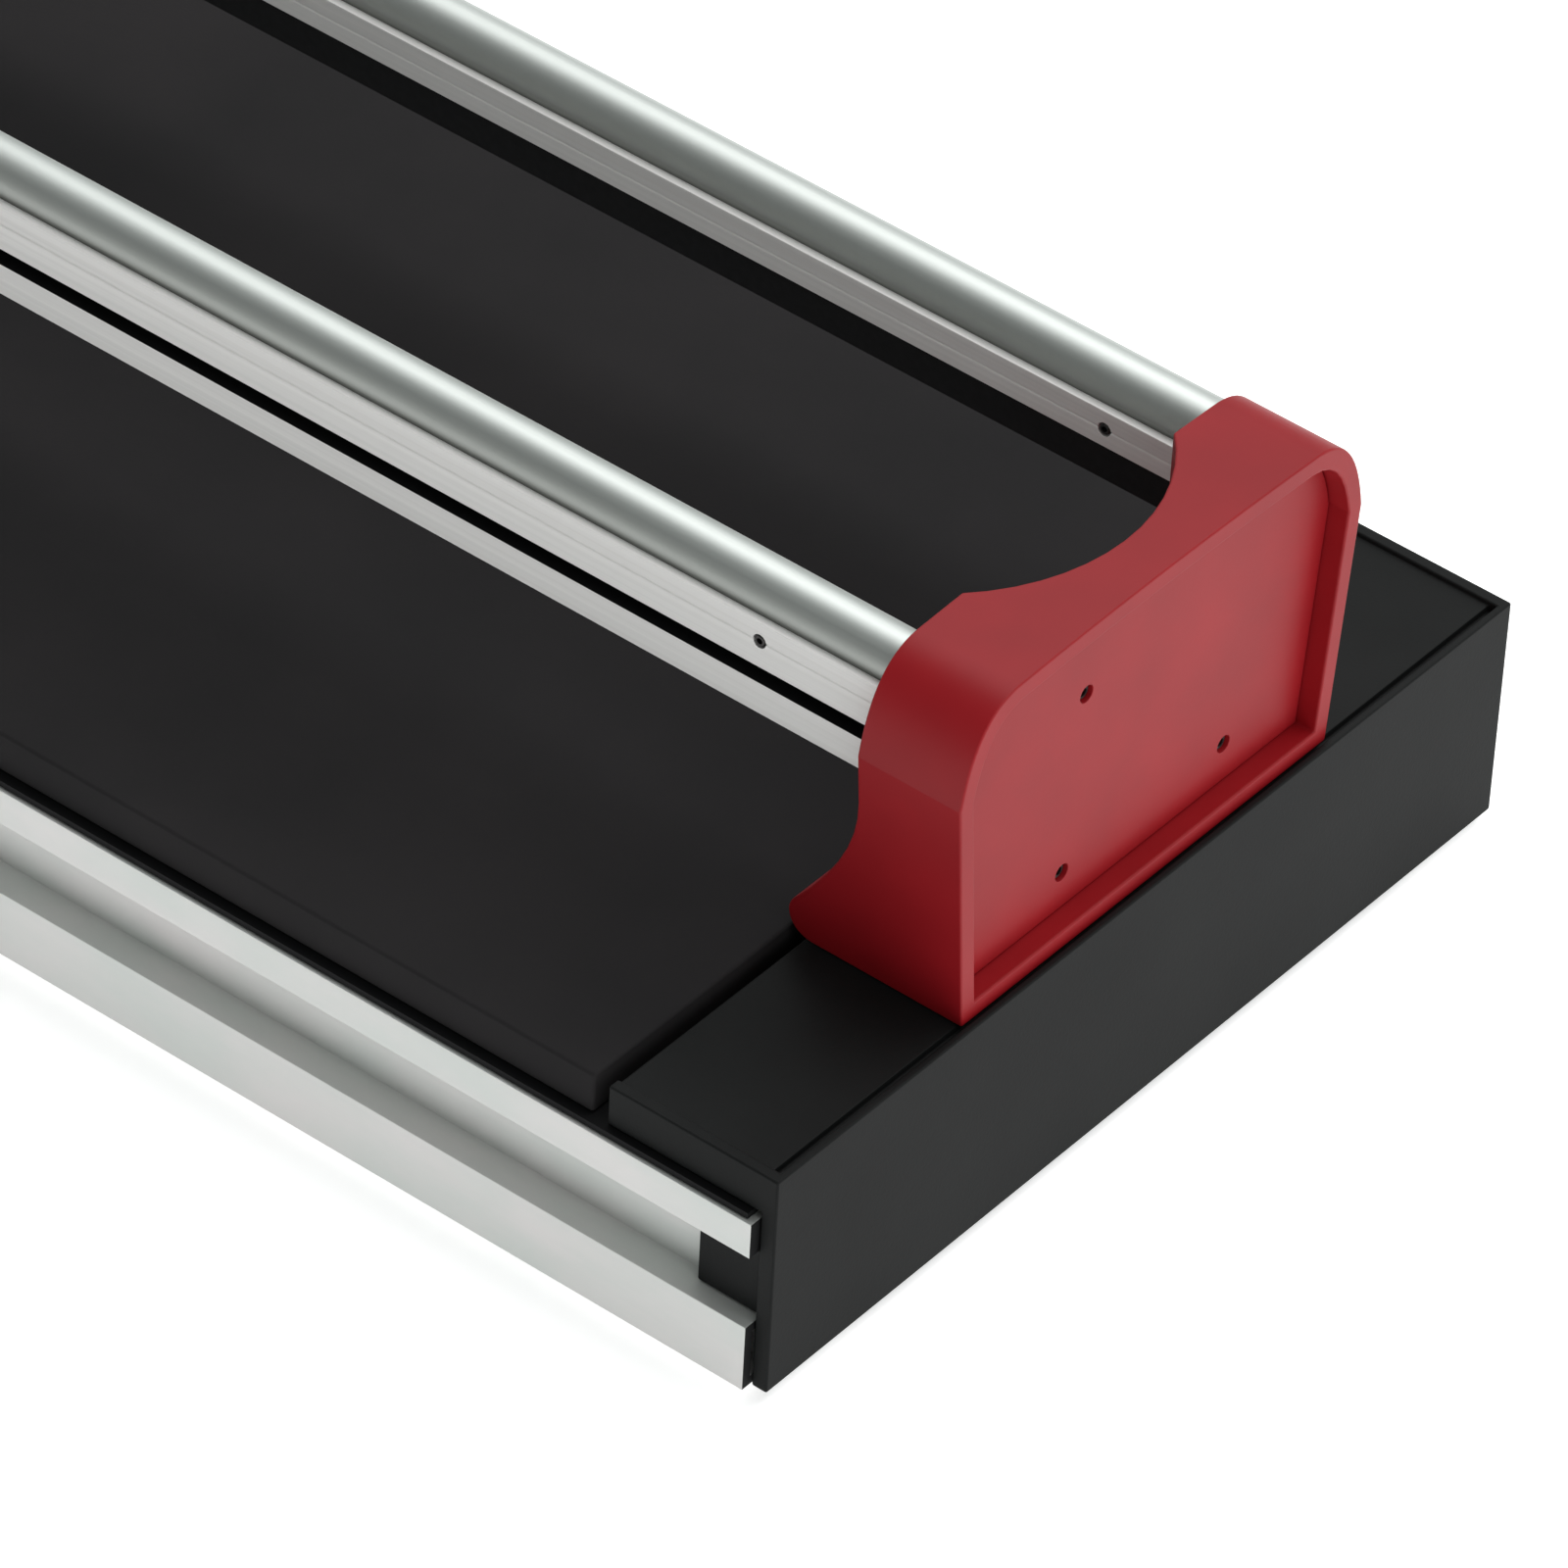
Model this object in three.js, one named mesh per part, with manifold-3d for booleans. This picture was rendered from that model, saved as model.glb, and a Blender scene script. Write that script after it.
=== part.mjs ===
// Twin-rail manual tile cutter. Millimetres, +Z up. X runs along the cut, the front is -Y.
// The origin is the middle of the footprint, on the surface that the rubber feet stand on.
import * as THREE from "three";
import { mergeVertices } from "three/addons/utils/BufferGeometryUtils.js";
import Module from "manifold-3d";

const wasm = await Module();
wasm.setup();

// Overall sizes
const LENGTH = 800; // end cap face to end cap face
const DEPTH = 250; // end caps, front to back
const FOOT_HEIGHT = 2.8; // what the rubber feet lift the base by
const BASE_HEIGHT = 58; // underside of the base to its top
const GAP = 0.3; // between pieces that rest on each other

// Base
const EXTRUSION_PROUD = 2.5; // the aluminium edges stand this far out of the end caps
const BED_STACK = 12.4; // deck, pads and gaps: from the top of the aluminium to the top of the base
const UPPER_FLANGE = 9.2;
const LOWER_FLANGE = 17.3;
const SLOT_DEPTH = 8;
const EXTRUSION_WALL = 3;
const FOOT_LEDGE = 34; // width of the bottom ledge that the feet plug into
const DECK_LEDGE = 13; // the deck lies on the extrusions' top flanges, which reach in this far
const DECK_THICKNESS = 1.5;
const DECK_SHY = 0.8; // the deck's edge stays this far inside the aluminium's face
const CAP_PLATE = 4; // thickness of an end cap's end wall
const CAP_REACH = 44.5; // from the end face to the seam with the pads
const CAP_SKIN = 4.5;
const CAP_RIM = 3;
const CAP_END_RIM = 1.8;
const RECESS = 1.2; // how far the cap's floor lies below its rim
const DRAIN_WIDTH = 2.2; // groove along the inside of the end rim
const DRAIN_DEPTH = 1.6;
const TONGUE_LENGTH = 17;
const TONGUE_THICKNESS = 3.1;
const SEAM = 4.2; // between cap and pads
const RIB_WIDTH = 3;
const RIB_FOOT = 15;
const RIB_PROUD = 1.2; // the breaking rib above the pads
const FOOT_RADIUS = 11;
const FOOT_INSET = 60; // from the end face to a foot's centre

// End blocks
const BLOCK_INSET = 2.7; // from the end cap's face to the block's face
const BLOCK_BACK = 29.5; // from the end cap's face to the block's back
const BLOCK_BASE_CHEEK = 10.8; // block's half width at the foot beyond a rail's middle
const BLOCK_TOP_CHEEK = 16.3;
const BLOCK_OVER_RAIL = 4; // the block's rise beyond the height of the rails' tops
const BLOCK_CROWN = 2.4;
const BLOCK_CORNER = 17.5;
const BLOCK_SHOULDER = 24; // from the crown down to the crease where the side wall ends
const TOE_RADIUS = 6.2;
const TOE_REACH = 42.3; // from the end cap's face to the toe's centre
const FLARE_BELOW_RAIL = 2.5; // the flare of the foot starts this far below the rails
const SCOOP_RADIUS = 50;
const SCOOP_DEPTH = 14.5;
const SCOOP_FLOOR = 22;
const RIM_WALL = 4.5;
const POCKET_DEPTH = 10.3;
const PANEL_RECESS = 5;
const PANEL_THICKNESS = 4;
const PANEL_SINK = 2.2; // depth of the holes that hide the screws' heads
const PANEL_SCREWS = [
  [-19.5, 60],
  [-23.5, 14.5],
  [31.5, 15],
]; // across from the middle, up from the floor

// Rails
const RAIL_SPACING = 102.4;
const RAIL_TOP = 81; // top of the round head above the base
const BULB_RADIUS = 7;
const HEAD_HALF = 9;
const HEAD_TOP = -1; // heights in the rail's section are from the middle of its round head
const HEAD_OUTER_BOTTOM = -12.5;
const HEAD_INNER_BOTTOM = -10.2;
const LIP_TOP = -16.5;
const RAIL_BOTTOM = -24.4;
const SCORE_LINE = -5.8;
const NICK = 0.3;
const GROOVE_FLOOR = -1.5; // across, from the middle of the rail
const SCREW_PORT = 3.2;
const GRUB_RADIUS = 1.4;
const FRONT_GRUB_INSET = 61.5; // from the end cap's face
const REAR_GRUB_INSET = 52;

// Carriage
const CARRIAGE_INSET = 200; // from the left end to the carriage's middle, as drawn
const CARRIAGE_LENGTH = 100;
const CARRIAGE_PLATE = 5;
const CHEEK = 4;
const CHEEK_GAP = 1.9; // between a cheek and the side of a rail
const ROLLER_RADIUS = 12;
const GROOVE_DEPTH = 3;
const ROLLER_WIDTH = 14;
const ROLLER_SPREAD = 64;
const RUNNING = 0.35; // between a roller and what it rolls on
const AXLE_RADIUS = 3;
const PIVOT_DROP = 24; // pivot below the carriage plate
const LEVER_THICKNESS = 10;
const LEVER_ANGLE = 32;
const TUBE_RADIUS = 9.5;
const TUBE_LENGTH = 235;
const GRIP_LENGTH = 110;
const GRIP_RADIUS = 15;
const WHEEL_RADIUS = 11;
const WHEEL_BEHIND = 38; // from the pivot towards the left
const WHEEL_ABOVE_BED = 17.35; // the wheel's lowest point, with the lever as drawn
const WHEEL_THICKNESS = 2.4;
const FOOT_AHEAD = 30; // the breaker foot's pin, from the pivot towards the right
const FOOT_PIN_ABOVE_BED = 25.35;
const PRESS_HALF = 30;

// Fence
const FENCE_INSET = 65; // from the left end to the fence's middle
const FENCE_WIDTH = 20;
const FENCE_HEIGHT = 12;
const FENCE_SCREW_Y = 30;
const SCREW_HEAD = 3;
const STOP_INSET = 50; // from the front of the base to the side stop's middle, as drawn
const STOP_WIDTH = 24;
const STOP_WALL = 5;
const STOP_REACH = 58;
const KNOB_RADIUS = 10;

// Heights and places that follow from the sizes above
const END = LENGTH / 2;
const BASE_TOP = FOOT_HEIGHT + BASE_HEIGHT;
const EXTRUSION_TOP = BASE_TOP - BED_STACK;
const EXTRUSION_OUT = DEPTH / 2 + EXTRUSION_PROUD;
const WEB_FACE = EXTRUSION_OUT - SLOT_DEPTH;
const WEB_BACK = WEB_FACE - EXTRUSION_WALL;
const DECK_TOP = EXTRUSION_TOP + GAP + DECK_THICKNESS;
const PAD_BOTTOM = DECK_TOP + GAP;
const FLOOR = BASE_TOP - RECESS;
const BLOCK_BOTTOM = FLOOR + GAP;
const PAD_END = END - CAP_REACH - SEAM;
const RAIL_Y = RAIL_SPACING / 2;
const BLOCK_BASE_HALF = RAIL_Y + BLOCK_BASE_CHEEK;
const BLOCK_TOP_HALF = RAIL_Y + BLOCK_TOP_CHEEK;
const BLOCK_RISE = RAIL_TOP + BLOCK_OVER_RAIL;
const RAIL_Z = BASE_TOP + RAIL_TOP - BULB_RADIUS;
const FLARE_TOP = RAIL_Z + RAIL_BOTTOM - FLARE_BELOW_RAIL - BLOCK_BOTTOM;
const RAIL_END = END - BLOCK_BACK - GAP;
const PORT_Z = RAIL_Z + (HEAD_TOP + HEAD_OUTER_BOTTOM) / 2 + 0.75;
const BOLT_X = END - 33;
const BOLT_Y = 38;
const CARRIAGE_X = CARRIAGE_INSET - END;
const GROOVE_RADIUS = ROLLER_RADIUS - GROOVE_DEPTH;
const AXLE_Z = RAIL_Z + BULB_RADIUS + GROOVE_RADIUS + RUNNING;
const PLATE_Z = AXLE_Z + ROLLER_RADIUS + 2;
const PIVOT_Z = PLATE_Z - PIVOT_DROP;
const WHEEL_AT = [-WHEEL_BEHIND, BASE_TOP + WHEEL_ABOVE_BED + WHEEL_RADIUS - PIVOT_Z];
const FOOT_PIN_AT = [FOOT_AHEAD, BASE_TOP + FOOT_PIN_ABOVE_BED - PIVOT_Z];
const FENCE_X = FENCE_INSET - END;
const STOP_Y = STOP_INSET - DEPTH / 2;

const group = new THREE.Group();

function material(color, roughness, metalness = 0) {
  return new THREE.MeshStandardMaterial({ color, roughness, metalness });
}
const ALUMINIUM = material(0xd2d4d2, 0.35, 0.9);
const CHROME = material(0xdfe3e1, 0.12, 1);
const STEEL = material(0x9a9c9e, 0.35, 0.9);
const DARK_STEEL = material(0x3a3b3d, 0.5, 0.6);
const BLACK_PLASTIC = material(0x2c2d2e, 0.55);
const BLACK_FOAM = material(0x29282a, 0.9);
const RED = material(0xa3303a, 0.35);
const BLACK_RUBBER = material(0x1c1c1d, 0.85);
const CARBIDE = material(0x6f7174, 0.3, 0.9);

// Solids: every helper gives a manifold-3d solid, so that pieces can be cut and joined.
function solid(geometry) {
  const plain = geometry.index ? geometry.toNonIndexed() : geometry.clone();
  plain.deleteAttribute("normal");
  plain.deleteAttribute("uv");
  const merged = mergeVertices(plain, 1e-4);
  const mesh = new wasm.Mesh({
    numProp: 3,
    vertProperties: new Float32Array(merged.attributes.position.array),
    triVerts: new Uint32Array(merged.index.array),
  });
  return new wasm.Manifold(mesh);
}

function box(x0, x1, y0, y1, z0, z1) {
  const g = new THREE.BoxGeometry(x1 - x0, y1 - y0, z1 - z0);
  return solid(g.translate((x0 + x1) / 2, (y0 + y1) / 2, (z0 + z1) / 2));
}

// A cylinder from one end along an axis ("x", "y" or "z").
function rod(axis, radius, length, at, sides = 20) {
  const g = new THREE.CylinderGeometry(radius, radius, length, sides);
  g.translate(0, length / 2, 0);
  if (axis === "x") g.rotateZ(-Math.PI / 2);
  if (axis === "z") g.rotateX(Math.PI / 2);
  return solid(g.translate(...at));
}

// A section in Y and Z, run along X.
function alongX(shape, x0, x1, steps = 8) {
  const g = new THREE.ExtrudeGeometry(shape, {
    depth: x1 - x0,
    bevelEnabled: false,
    curveSegments: steps,
  });
  const turn = new THREE.Matrix4().makeBasis(
    new THREE.Vector3(0, 1, 0),
    new THREE.Vector3(0, 0, 1),
    new THREE.Vector3(1, 0, 0),
  );
  return solid(g.applyMatrix4(turn).translate(x0, 0, 0));
}

// A section in X and Z, run along Y.
function alongY(shape, y0, y1, steps = 8) {
  const g = new THREE.ExtrudeGeometry(shape, {
    depth: y1 - y0,
    bevelEnabled: false,
    curveSegments: steps,
  });
  return solid(g.rotateX(Math.PI / 2).translate(0, y1, 0));
}

// A turned piece from (radius, height) points, its axis along Z.
function turned(points, sides = 24) {
  const g = new THREE.LatheGeometry(
    points.map(([r, z]) => new THREE.Vector2(r, z)),
    sides,
  );
  return solid(g.rotateX(Math.PI / 2));
}

function polygon(points) {
  return new THREE.Shape(points.map(([a, b]) => new THREE.Vector2(a, b)));
}

function circleHole(shape, x, y, radius) {
  const hole = new THREE.Path();
  hole.absarc(x, y, radius, 0, 2 * Math.PI, true);
  shape.holes.push(hole);
}

function add(name, body, look, parent = group) {
  const made = body.getMesh();
  const g = new THREE.BufferGeometry();
  g.setAttribute("position", new THREE.BufferAttribute(made.vertProperties, 3));
  g.setIndex(new THREE.BufferAttribute(made.triVerts, 1));
  const mesh = new THREE.Mesh(g, look);
  mesh.name = name;
  parent.add(mesh);
  return mesh;
}

// The aluminium edge of the base, front side: a C slot outside, a top flange that carries the
// deck and a bottom ledge for the feet inside.
function edgeExtrusion() {
  const out = -EXTRUSION_OUT;
  const low = FOOT_HEIGHT;
  const web = -WEB_FACE;
  const back = -WEB_BACK;
  const shape = polygon([
    [out, low],
    [out + FOOT_LEDGE, low],
    [out + FOOT_LEDGE, low + EXTRUSION_WALL],
    [back, low + EXTRUSION_WALL],
    [back, EXTRUSION_TOP - EXTRUSION_WALL],
    [back + DECK_LEDGE, EXTRUSION_TOP - EXTRUSION_WALL],
    [back + DECK_LEDGE, EXTRUSION_TOP],
    [out, EXTRUSION_TOP],
    [out, EXTRUSION_TOP - UPPER_FLANGE],
    [web, EXTRUSION_TOP - UPPER_FLANGE],
    [web, low + LOWER_FLANGE],
    [out, low + LOWER_FLANGE],
  ]);
  const wall = EXTRUSION_WALL - 0.5;
  shape.holes.push(
    polygon([
      [out + wall, low + wall],
      [out + wall, low + LOWER_FLANGE - wall],
      [back - wall, low + LOWER_FLANGE - wall],
      [back - wall, low + wall],
    ]),
  );
  const reach = END - CAP_PLATE - GAP - 0.1;
  let body = alongX(shape, -reach, reach);
  for (const x of [-1, 1]) {
    const at = [x * (END - FOOT_INSET), -footY(), low - 1];
    body = body.subtract(rod("z", 3.8, EXTRUSION_WALL + 3, at, 12));
  }
  return body;
}

function footY() {
  return WEB_BACK - (FOOT_LEDGE - SLOT_DEPTH - EXTRUSION_WALL) / 2;
}

function rubberFoot() {
  return turned([
    [0, 0],
    [FOOT_RADIUS - 1, 0],
    [FOOT_RADIUS, 1],
    [FOOT_RADIUS, FOOT_HEIGHT - GAP],
    [3.5, FOOT_HEIGHT - GAP],
    [3.5, FOOT_HEIGHT + EXTRUSION_WALL + 3],
    [0, FOOT_HEIGHT + EXTRUSION_WALL + 3],
  ], 20);
}

function deckPlate() {
  const half = EXTRUSION_OUT - DECK_SHY;
  const reach = END - CAP_PLATE - 2;
  let body = box(-reach, reach, -half, half, DECK_TOP - DECK_THICKNESS, DECK_TOP);
  for (const x of [-BOLT_X, BOLT_X])
    for (const y of [-BOLT_Y, BOLT_Y])
      body = body.subtract(rod("z", 4.4, DECK_THICKNESS + 4, [x, y, DECK_TOP - 4], 12));
  return body;
}

function pad(side) {
  const inner = RIB_FOOT / 2 + 0.8;
  const outer = DEPTH / 2 - 0.5;
  const [y0, y1] = side < 0 ? [-outer, -inner] : [inner, outer];
  return box(-PAD_END, PAD_END, y0, y1, PAD_BOTTOM, BASE_TOP);
}

function breakingRib() {
  const foot = RIB_FOOT / 2;
  const half = RIB_WIDTH / 2;
  const shape = polygon([
    [-foot, PAD_BOTTOM],
    [foot, PAD_BOTTOM],
    [foot, PAD_BOTTOM + 2],
    [half, PAD_BOTTOM + 4],
    [half, BASE_TOP + RIB_PROUD - 1],
    [0.6, BASE_TOP + RIB_PROUD],
    [-0.6, BASE_TOP + RIB_PROUD],
    [-half, BASE_TOP + RIB_PROUD - 1],
    [-half, PAD_BOTTOM + 4],
    [-foot, PAD_BOTTOM + 2],
  ]);
  return alongX(shape, FENCE_X + FENCE_WIDTH / 2 + 3, PAD_END - 2);
}

// The moulded cap on the right end: end wall, shallow tray and the two tongues in the slots.
function endCap() {
  const half = DEPTH / 2;
  const seam = END - CAP_REACH;
  const wall = END - CAP_PLATE;
  let body = box(wall, END, -half, half, FOOT_HEIGHT, BASE_TOP);
  body = body.add(box(seam, wall + 1, -half, half, PAD_BOTTOM, BASE_TOP));
  const inset = CAP_RIM + 0.5;
  body = body.subtract(
    box(seam + inset, wall, -half + inset, half - inset, PAD_BOTTOM - 1, BASE_TOP - CAP_SKIN),
  );
  for (const y of [-BOLT_Y, BOLT_Y]) {
    const height = BASE_TOP - CAP_SKIN - PAD_BOTTOM + 0.5;
    body = body.add(rod("z", 9, height, [BOLT_X, y, PAD_BOTTOM], 16));
  }
  body = body.subtract(
    box(seam - 1, END - CAP_END_RIM, -half + CAP_RIM, half - CAP_RIM, FLOOR, BASE_TOP + 1),
  );
  const rimX = END - CAP_END_RIM;
  body = body.subtract(
    box(rimX - DRAIN_WIDTH, rimX, -half + CAP_RIM, half - CAP_RIM, FLOOR - DRAIN_DEPTH, FLOOR + 1),
  );
  for (const y of [-BOLT_Y, BOLT_Y])
    body = body.subtract(rod("z", 4.4, BASE_HEIGHT, [BOLT_X, y, FOOT_HEIGHT], 12));
  const low = FOOT_HEIGHT + LOWER_FLANGE + 0.4;
  const high = EXTRUSION_TOP - UPPER_FLANGE - 0.4;
  for (const side of [-1, 1]) {
    const y0 = side * (WEB_FACE + GAP);
    const y1 = side * (WEB_FACE + GAP + TONGUE_THICKNESS);
    const [a, b] = y0 < y1 ? [y0, y1] : [y1, y0];
    body = body.add(box(wall - TONGUE_LENGTH, wall + 1, a, b, low, high));
  }
  return body;
}

// Outline of an end block seen from the end, drawn in by a wall's thickness. The side walls lean
// out as far as a crease; from there a long corner turns in to the crown.
function blockOutline(inset, bottom) {
  const top = BLOCK_BOTTOM + BLOCK_RISE - inset;
  const crease = BLOCK_BOTTOM + BLOCK_RISE - BLOCK_SHOULDER;
  const lean = (BLOCK_TOP_HALF - BLOCK_BASE_HALF) / (BLOCK_RISE - BLOCK_SHOULDER);
  const wide = (z) => BLOCK_BASE_HALF + (z - BLOCK_BOTTOM) * lean - inset;
  const side = wide(crease);
  const corner = BLOCK_CORNER - inset * 0.6;
  const rise = top - crease;
  const eave = top - BLOCK_CROWN * 0.45;
  const shape = new THREE.Shape();
  shape.moveTo(-wide(bottom), bottom);
  shape.lineTo(wide(bottom), bottom);
  shape.lineTo(side, crease);
  shape.bezierCurveTo(
    side - 2.2,
    crease + rise * 0.55,
    side - corner * 0.4,
    eave - 0.8,
    side - corner,
    eave,
  );
  shape.quadraticCurveTo(0, top + BLOCK_CROWN * 0.45, -side + corner, eave);
  shape.bezierCurveTo(
    -side + corner * 0.4,
    eave - 0.8,
    -side + 2.2,
    crease + rise * 0.55,
    -side,
    crease,
  );
  return shape;
}

// Outline of an end block seen from the front: straight back, flared foot, round toe.
function blockProfile() {
  const toeX = END - TOE_REACH;
  const toeZ = BLOCK_BOTTOM + TOE_RADIUS;
  const toeEnd = (140 * Math.PI) / 180;
  const backX = END - BLOCK_BACK;
  const shape = new THREE.Shape();
  shape.moveTo(END - BLOCK_INSET, BLOCK_BOTTOM);
  shape.lineTo(END - BLOCK_INSET, BLOCK_BOTTOM + BLOCK_RISE + 5);
  shape.lineTo(backX, BLOCK_BOTTOM + BLOCK_RISE + 5);
  shape.lineTo(backX, BLOCK_BOTTOM + FLARE_TOP);
  shape.quadraticCurveTo(
    backX,
    BLOCK_BOTTOM + FLARE_TOP * 0.66,
    toeX + TOE_RADIUS * Math.cos(toeEnd),
    toeZ + TOE_RADIUS * Math.sin(toeEnd),
  );
  shape.absarc(toeX, toeZ, TOE_RADIUS, toeEnd, 1.5 * Math.PI, false);
  return shape;
}

function endBlock() {
  const face = END - BLOCK_INSET;
  const pocket = face - POCKET_DEPTH;
  let body = alongY(blockProfile(), -BLOCK_TOP_HALF - 5, BLOCK_TOP_HALF + 5, 7);
  body = body.intersect(alongX(blockOutline(0, BLOCK_BOTTOM), END - 70, END, 16));
  const scoopX = END - BLOCK_BACK + SCOOP_DEPTH - SCOOP_RADIUS;
  const scoopZ = BLOCK_BOTTOM + SCOOP_FLOOR;
  const scoop = rod("z", SCOOP_RADIUS, BLOCK_RISE, [scoopX, 0, scoopZ], 56);
  body = body.subtract(scoop);
  const opening = blockOutline(RIM_WALL, BLOCK_BOTTOM + RIM_WALL);
  body = body.subtract(alongX(opening, pocket, face + 1, 7));
  for (const side of [-1, 1]) {
    const at = (x) => [x, side * RAIL_Y, PORT_Z];
    body = body.subtract(rod("x", 5.5, 5.1, at(pocket - 5), 14));
    body = body.subtract(rod("x", 3.3, 20, at(pocket - 20), 12));
    body = body.subtract(rod("z", 4.3, 13, [BOLT_X, side * BOLT_Y, BLOCK_BOTTOM - 1], 12));
  }
  for (const [y, up] of PANEL_SCREWS)
    body = body.subtract(rod("x", 1.4, 6, [pocket - 5, y, BLOCK_BOTTOM + up], 10));
  return body;
}

function panelX() {
  return END - BLOCK_INSET - PANEL_RECESS;
}

function endPanel() {
  const inset = RIM_WALL + GAP;
  const shape = blockOutline(inset, BLOCK_BOTTOM + inset);
  let body = alongX(shape, panelX() - PANEL_THICKNESS, panelX(), 7);
  for (const [y, up] of PANEL_SCREWS) {
    const z = BLOCK_BOTTOM + up;
    body = body.subtract(rod("x", 1.4, 6, [panelX() - 5, y, z], 10));
    body = body.subtract(rod("x", 2.1, 4, [panelX() - PANEL_SINK, y, z], 14));
  }
  return body;
}

function panelScrew([y, up]) {
  const z = BLOCK_BOTTOM + up;
  const head = rod("x", 1.8, 1, [panelX() - PANEL_SINK + 0.2, y, z], 12);
  return head.add(rod("x", 1.1, 7, [panelX() - PANEL_SINK - 6.5, y, z], 10));
}

function railBolt(side) {
  const seat = END - BLOCK_INSET - POCKET_DEPTH - 4.9;
  const head = rod("x", 5, 4.5, [seat, side * RAIL_Y, PORT_Z], 6);
  return head.add(rod("x", 2.9, 26, [seat - 25.5, side * RAIL_Y, PORT_Z], 12));
}

function blockBolt(side) {
  const seat = DECK_TOP - DECK_THICKNESS - GAP;
  const head = rod("z", 6.5, 4.8, [BOLT_X, side * BOLT_Y, seat - 4.8], 6);
  return head.add(rod("z", 4, BLOCK_BOTTOM + 11 - seat, [BOLT_X, side * BOLT_Y, seat - 0.2], 12));
}

// Section of a rail. Its outer side is at minus across, and carries the open slot and lower lip.
function railShape() {
  const h = HEAD_HALF;
  const start = Math.asin(HEAD_TOP / BULB_RADIUS);
  const shape = new THREE.Shape();
  shape.moveTo(-h, HEAD_TOP);
  shape.lineTo(-h, SCORE_LINE + NICK);
  shape.lineTo(-h + NICK, SCORE_LINE);
  shape.lineTo(-h, SCORE_LINE - NICK);
  shape.lineTo(-h, HEAD_OUTER_BOTTOM);
  shape.lineTo(GROOVE_FLOOR, HEAD_OUTER_BOTTOM);
  shape.lineTo(GROOVE_FLOOR, LIP_TOP);
  shape.lineTo(-h, LIP_TOP);
  shape.lineTo(-h, RAIL_BOTTOM);
  shape.lineTo(3, RAIL_BOTTOM);
  shape.lineTo(3, HEAD_INNER_BOTTOM);
  shape.lineTo(h, HEAD_INNER_BOTTOM);
  shape.lineTo(h, SCORE_LINE - NICK);
  shape.lineTo(h - NICK, SCORE_LINE);
  shape.lineTo(h, SCORE_LINE + NICK);
  shape.lineTo(h, HEAD_TOP);
  shape.absarc(0, 0, BULB_RADIUS, start, Math.PI - start, false);
  circleHole(shape, 0, PORT_Z - RAIL_Z, SCREW_PORT);
  return shape;
}

// grubSide is -1 for a grub screw in the outer side and 1 for one in the inner side.
function rail(grubSide, inset) {
  let body = alongX(railShape(), -RAIL_END, RAIL_END, 9);
  for (const x of [-1, 1]) {
    const y = grubSide < 0 ? -HEAD_HALF - 1 : HEAD_HALF - 4.6;
    const at = [x * (END - inset), y, SCORE_LINE];
    body = body.subtract(rod("y", GRUB_RADIUS + GAP, 5.6, at, 12));
  }
  return body;
}

function grubScrew() {
  return rod("y", GRUB_RADIUS, 4.4, [0, 0, 0], 12);
}

// The carriage is an aluminium section that straddles both rails, slotted for the lever.
function carriageBody() {
  const half = CARRIAGE_LENGTH / 2;
  const outside = RAIL_Y + HEAD_HALF + CHEEK_GAP + CHEEK;
  const inside = RAIL_Y - HEAD_HALF - CHEEK_GAP - CHEEK;
  const top = PLATE_Z + CARRIAGE_PLATE;
  const outerLow = AXLE_Z - 9;
  const innerLow = RAIL_Z + HEAD_INNER_BOTTOM - 9;
  const shape = polygon([
    [-outside, outerLow],
    [-outside + CHEEK, outerLow],
    [-outside + CHEEK, PLATE_Z],
    [-inside - CHEEK, PLATE_Z],
    [-inside - CHEEK, innerLow],
    [-inside, innerLow],
    [-inside, PLATE_Z],
    [inside, PLATE_Z],
    [inside, innerLow],
    [inside + CHEEK, innerLow],
    [inside + CHEEK, PLATE_Z],
    [outside - CHEEK, PLATE_Z],
    [outside - CHEEK, outerLow],
    [outside, outerLow],
    [outside, top - 2],
    [outside - 2, top],
    [-outside + 2, top],
    [-outside, top - 2],
  ]);
  let body = alongX(shape, -half, half);
  const lug = LEVER_THICKNESS / 2 + 0.5;
  for (const side of [-1, 1]) {
    const near = side * lug;
    const far = side * (lug + 5);
    const [a, b] = near < far ? [near, far] : [far, near];
    body = body.add(box(-13, 13, a, b, PIVOT_Z - 12, PLATE_Z + 1));
    const dy = side < 0 ? -outside - 1 : inside - 1;
    for (const x of [-1, 1]) {
      const at = [(x * ROLLER_SPREAD) / 2, dy, AXLE_Z];
      body = body.subtract(rod("y", AXLE_RADIUS + 0.3, outside - inside + 2, at, 12));
    }
  }
  body = body.subtract(rod("y", 4.3, 40, [0, -20, PIVOT_Z], 14));
  const slot = TUBE_RADIUS + 1.5;
  body = body.subtract(box(14, half + 1, -slot, slot, PLATE_Z - 1, top + 1));
  const arm = LEVER_THICKNESS / 2 + 0.5;
  return body.subtract(box(-16, 15, -arm, arm, PLATE_Z - 1, top + 1));
}

// A grooved ball-race roller that fits the round head of a rail.
function roller() {
  const half = ROLLER_WIDTH / 2;
  const groove = (y) => GROOVE_RADIUS + 0.88 * (BULB_RADIUS - Math.sqrt(BULB_RADIUS ** 2 - y ** 2));
  const bore = AXLE_RADIUS + 0.3;
  const points = [
    [bore, -half],
    [ROLLER_RADIUS - 0.5, -half],
    [ROLLER_RADIUS, -half + 0.5],
  ];
  for (const y of [-5.5, -4, -2, 0, 2, 4, 5.5]) points.push([groove(y), y]);
  points.push([ROLLER_RADIUS, half - 0.5]);
  points.push([ROLLER_RADIUS - 0.5, half]);
  points.push([bore, half]);
  points.push([bore, -half]);
  const turn = new THREE.LatheGeometry(points.map(([r, y]) => new THREE.Vector2(r, y)), 28);
  return solid(turn);
}

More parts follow.
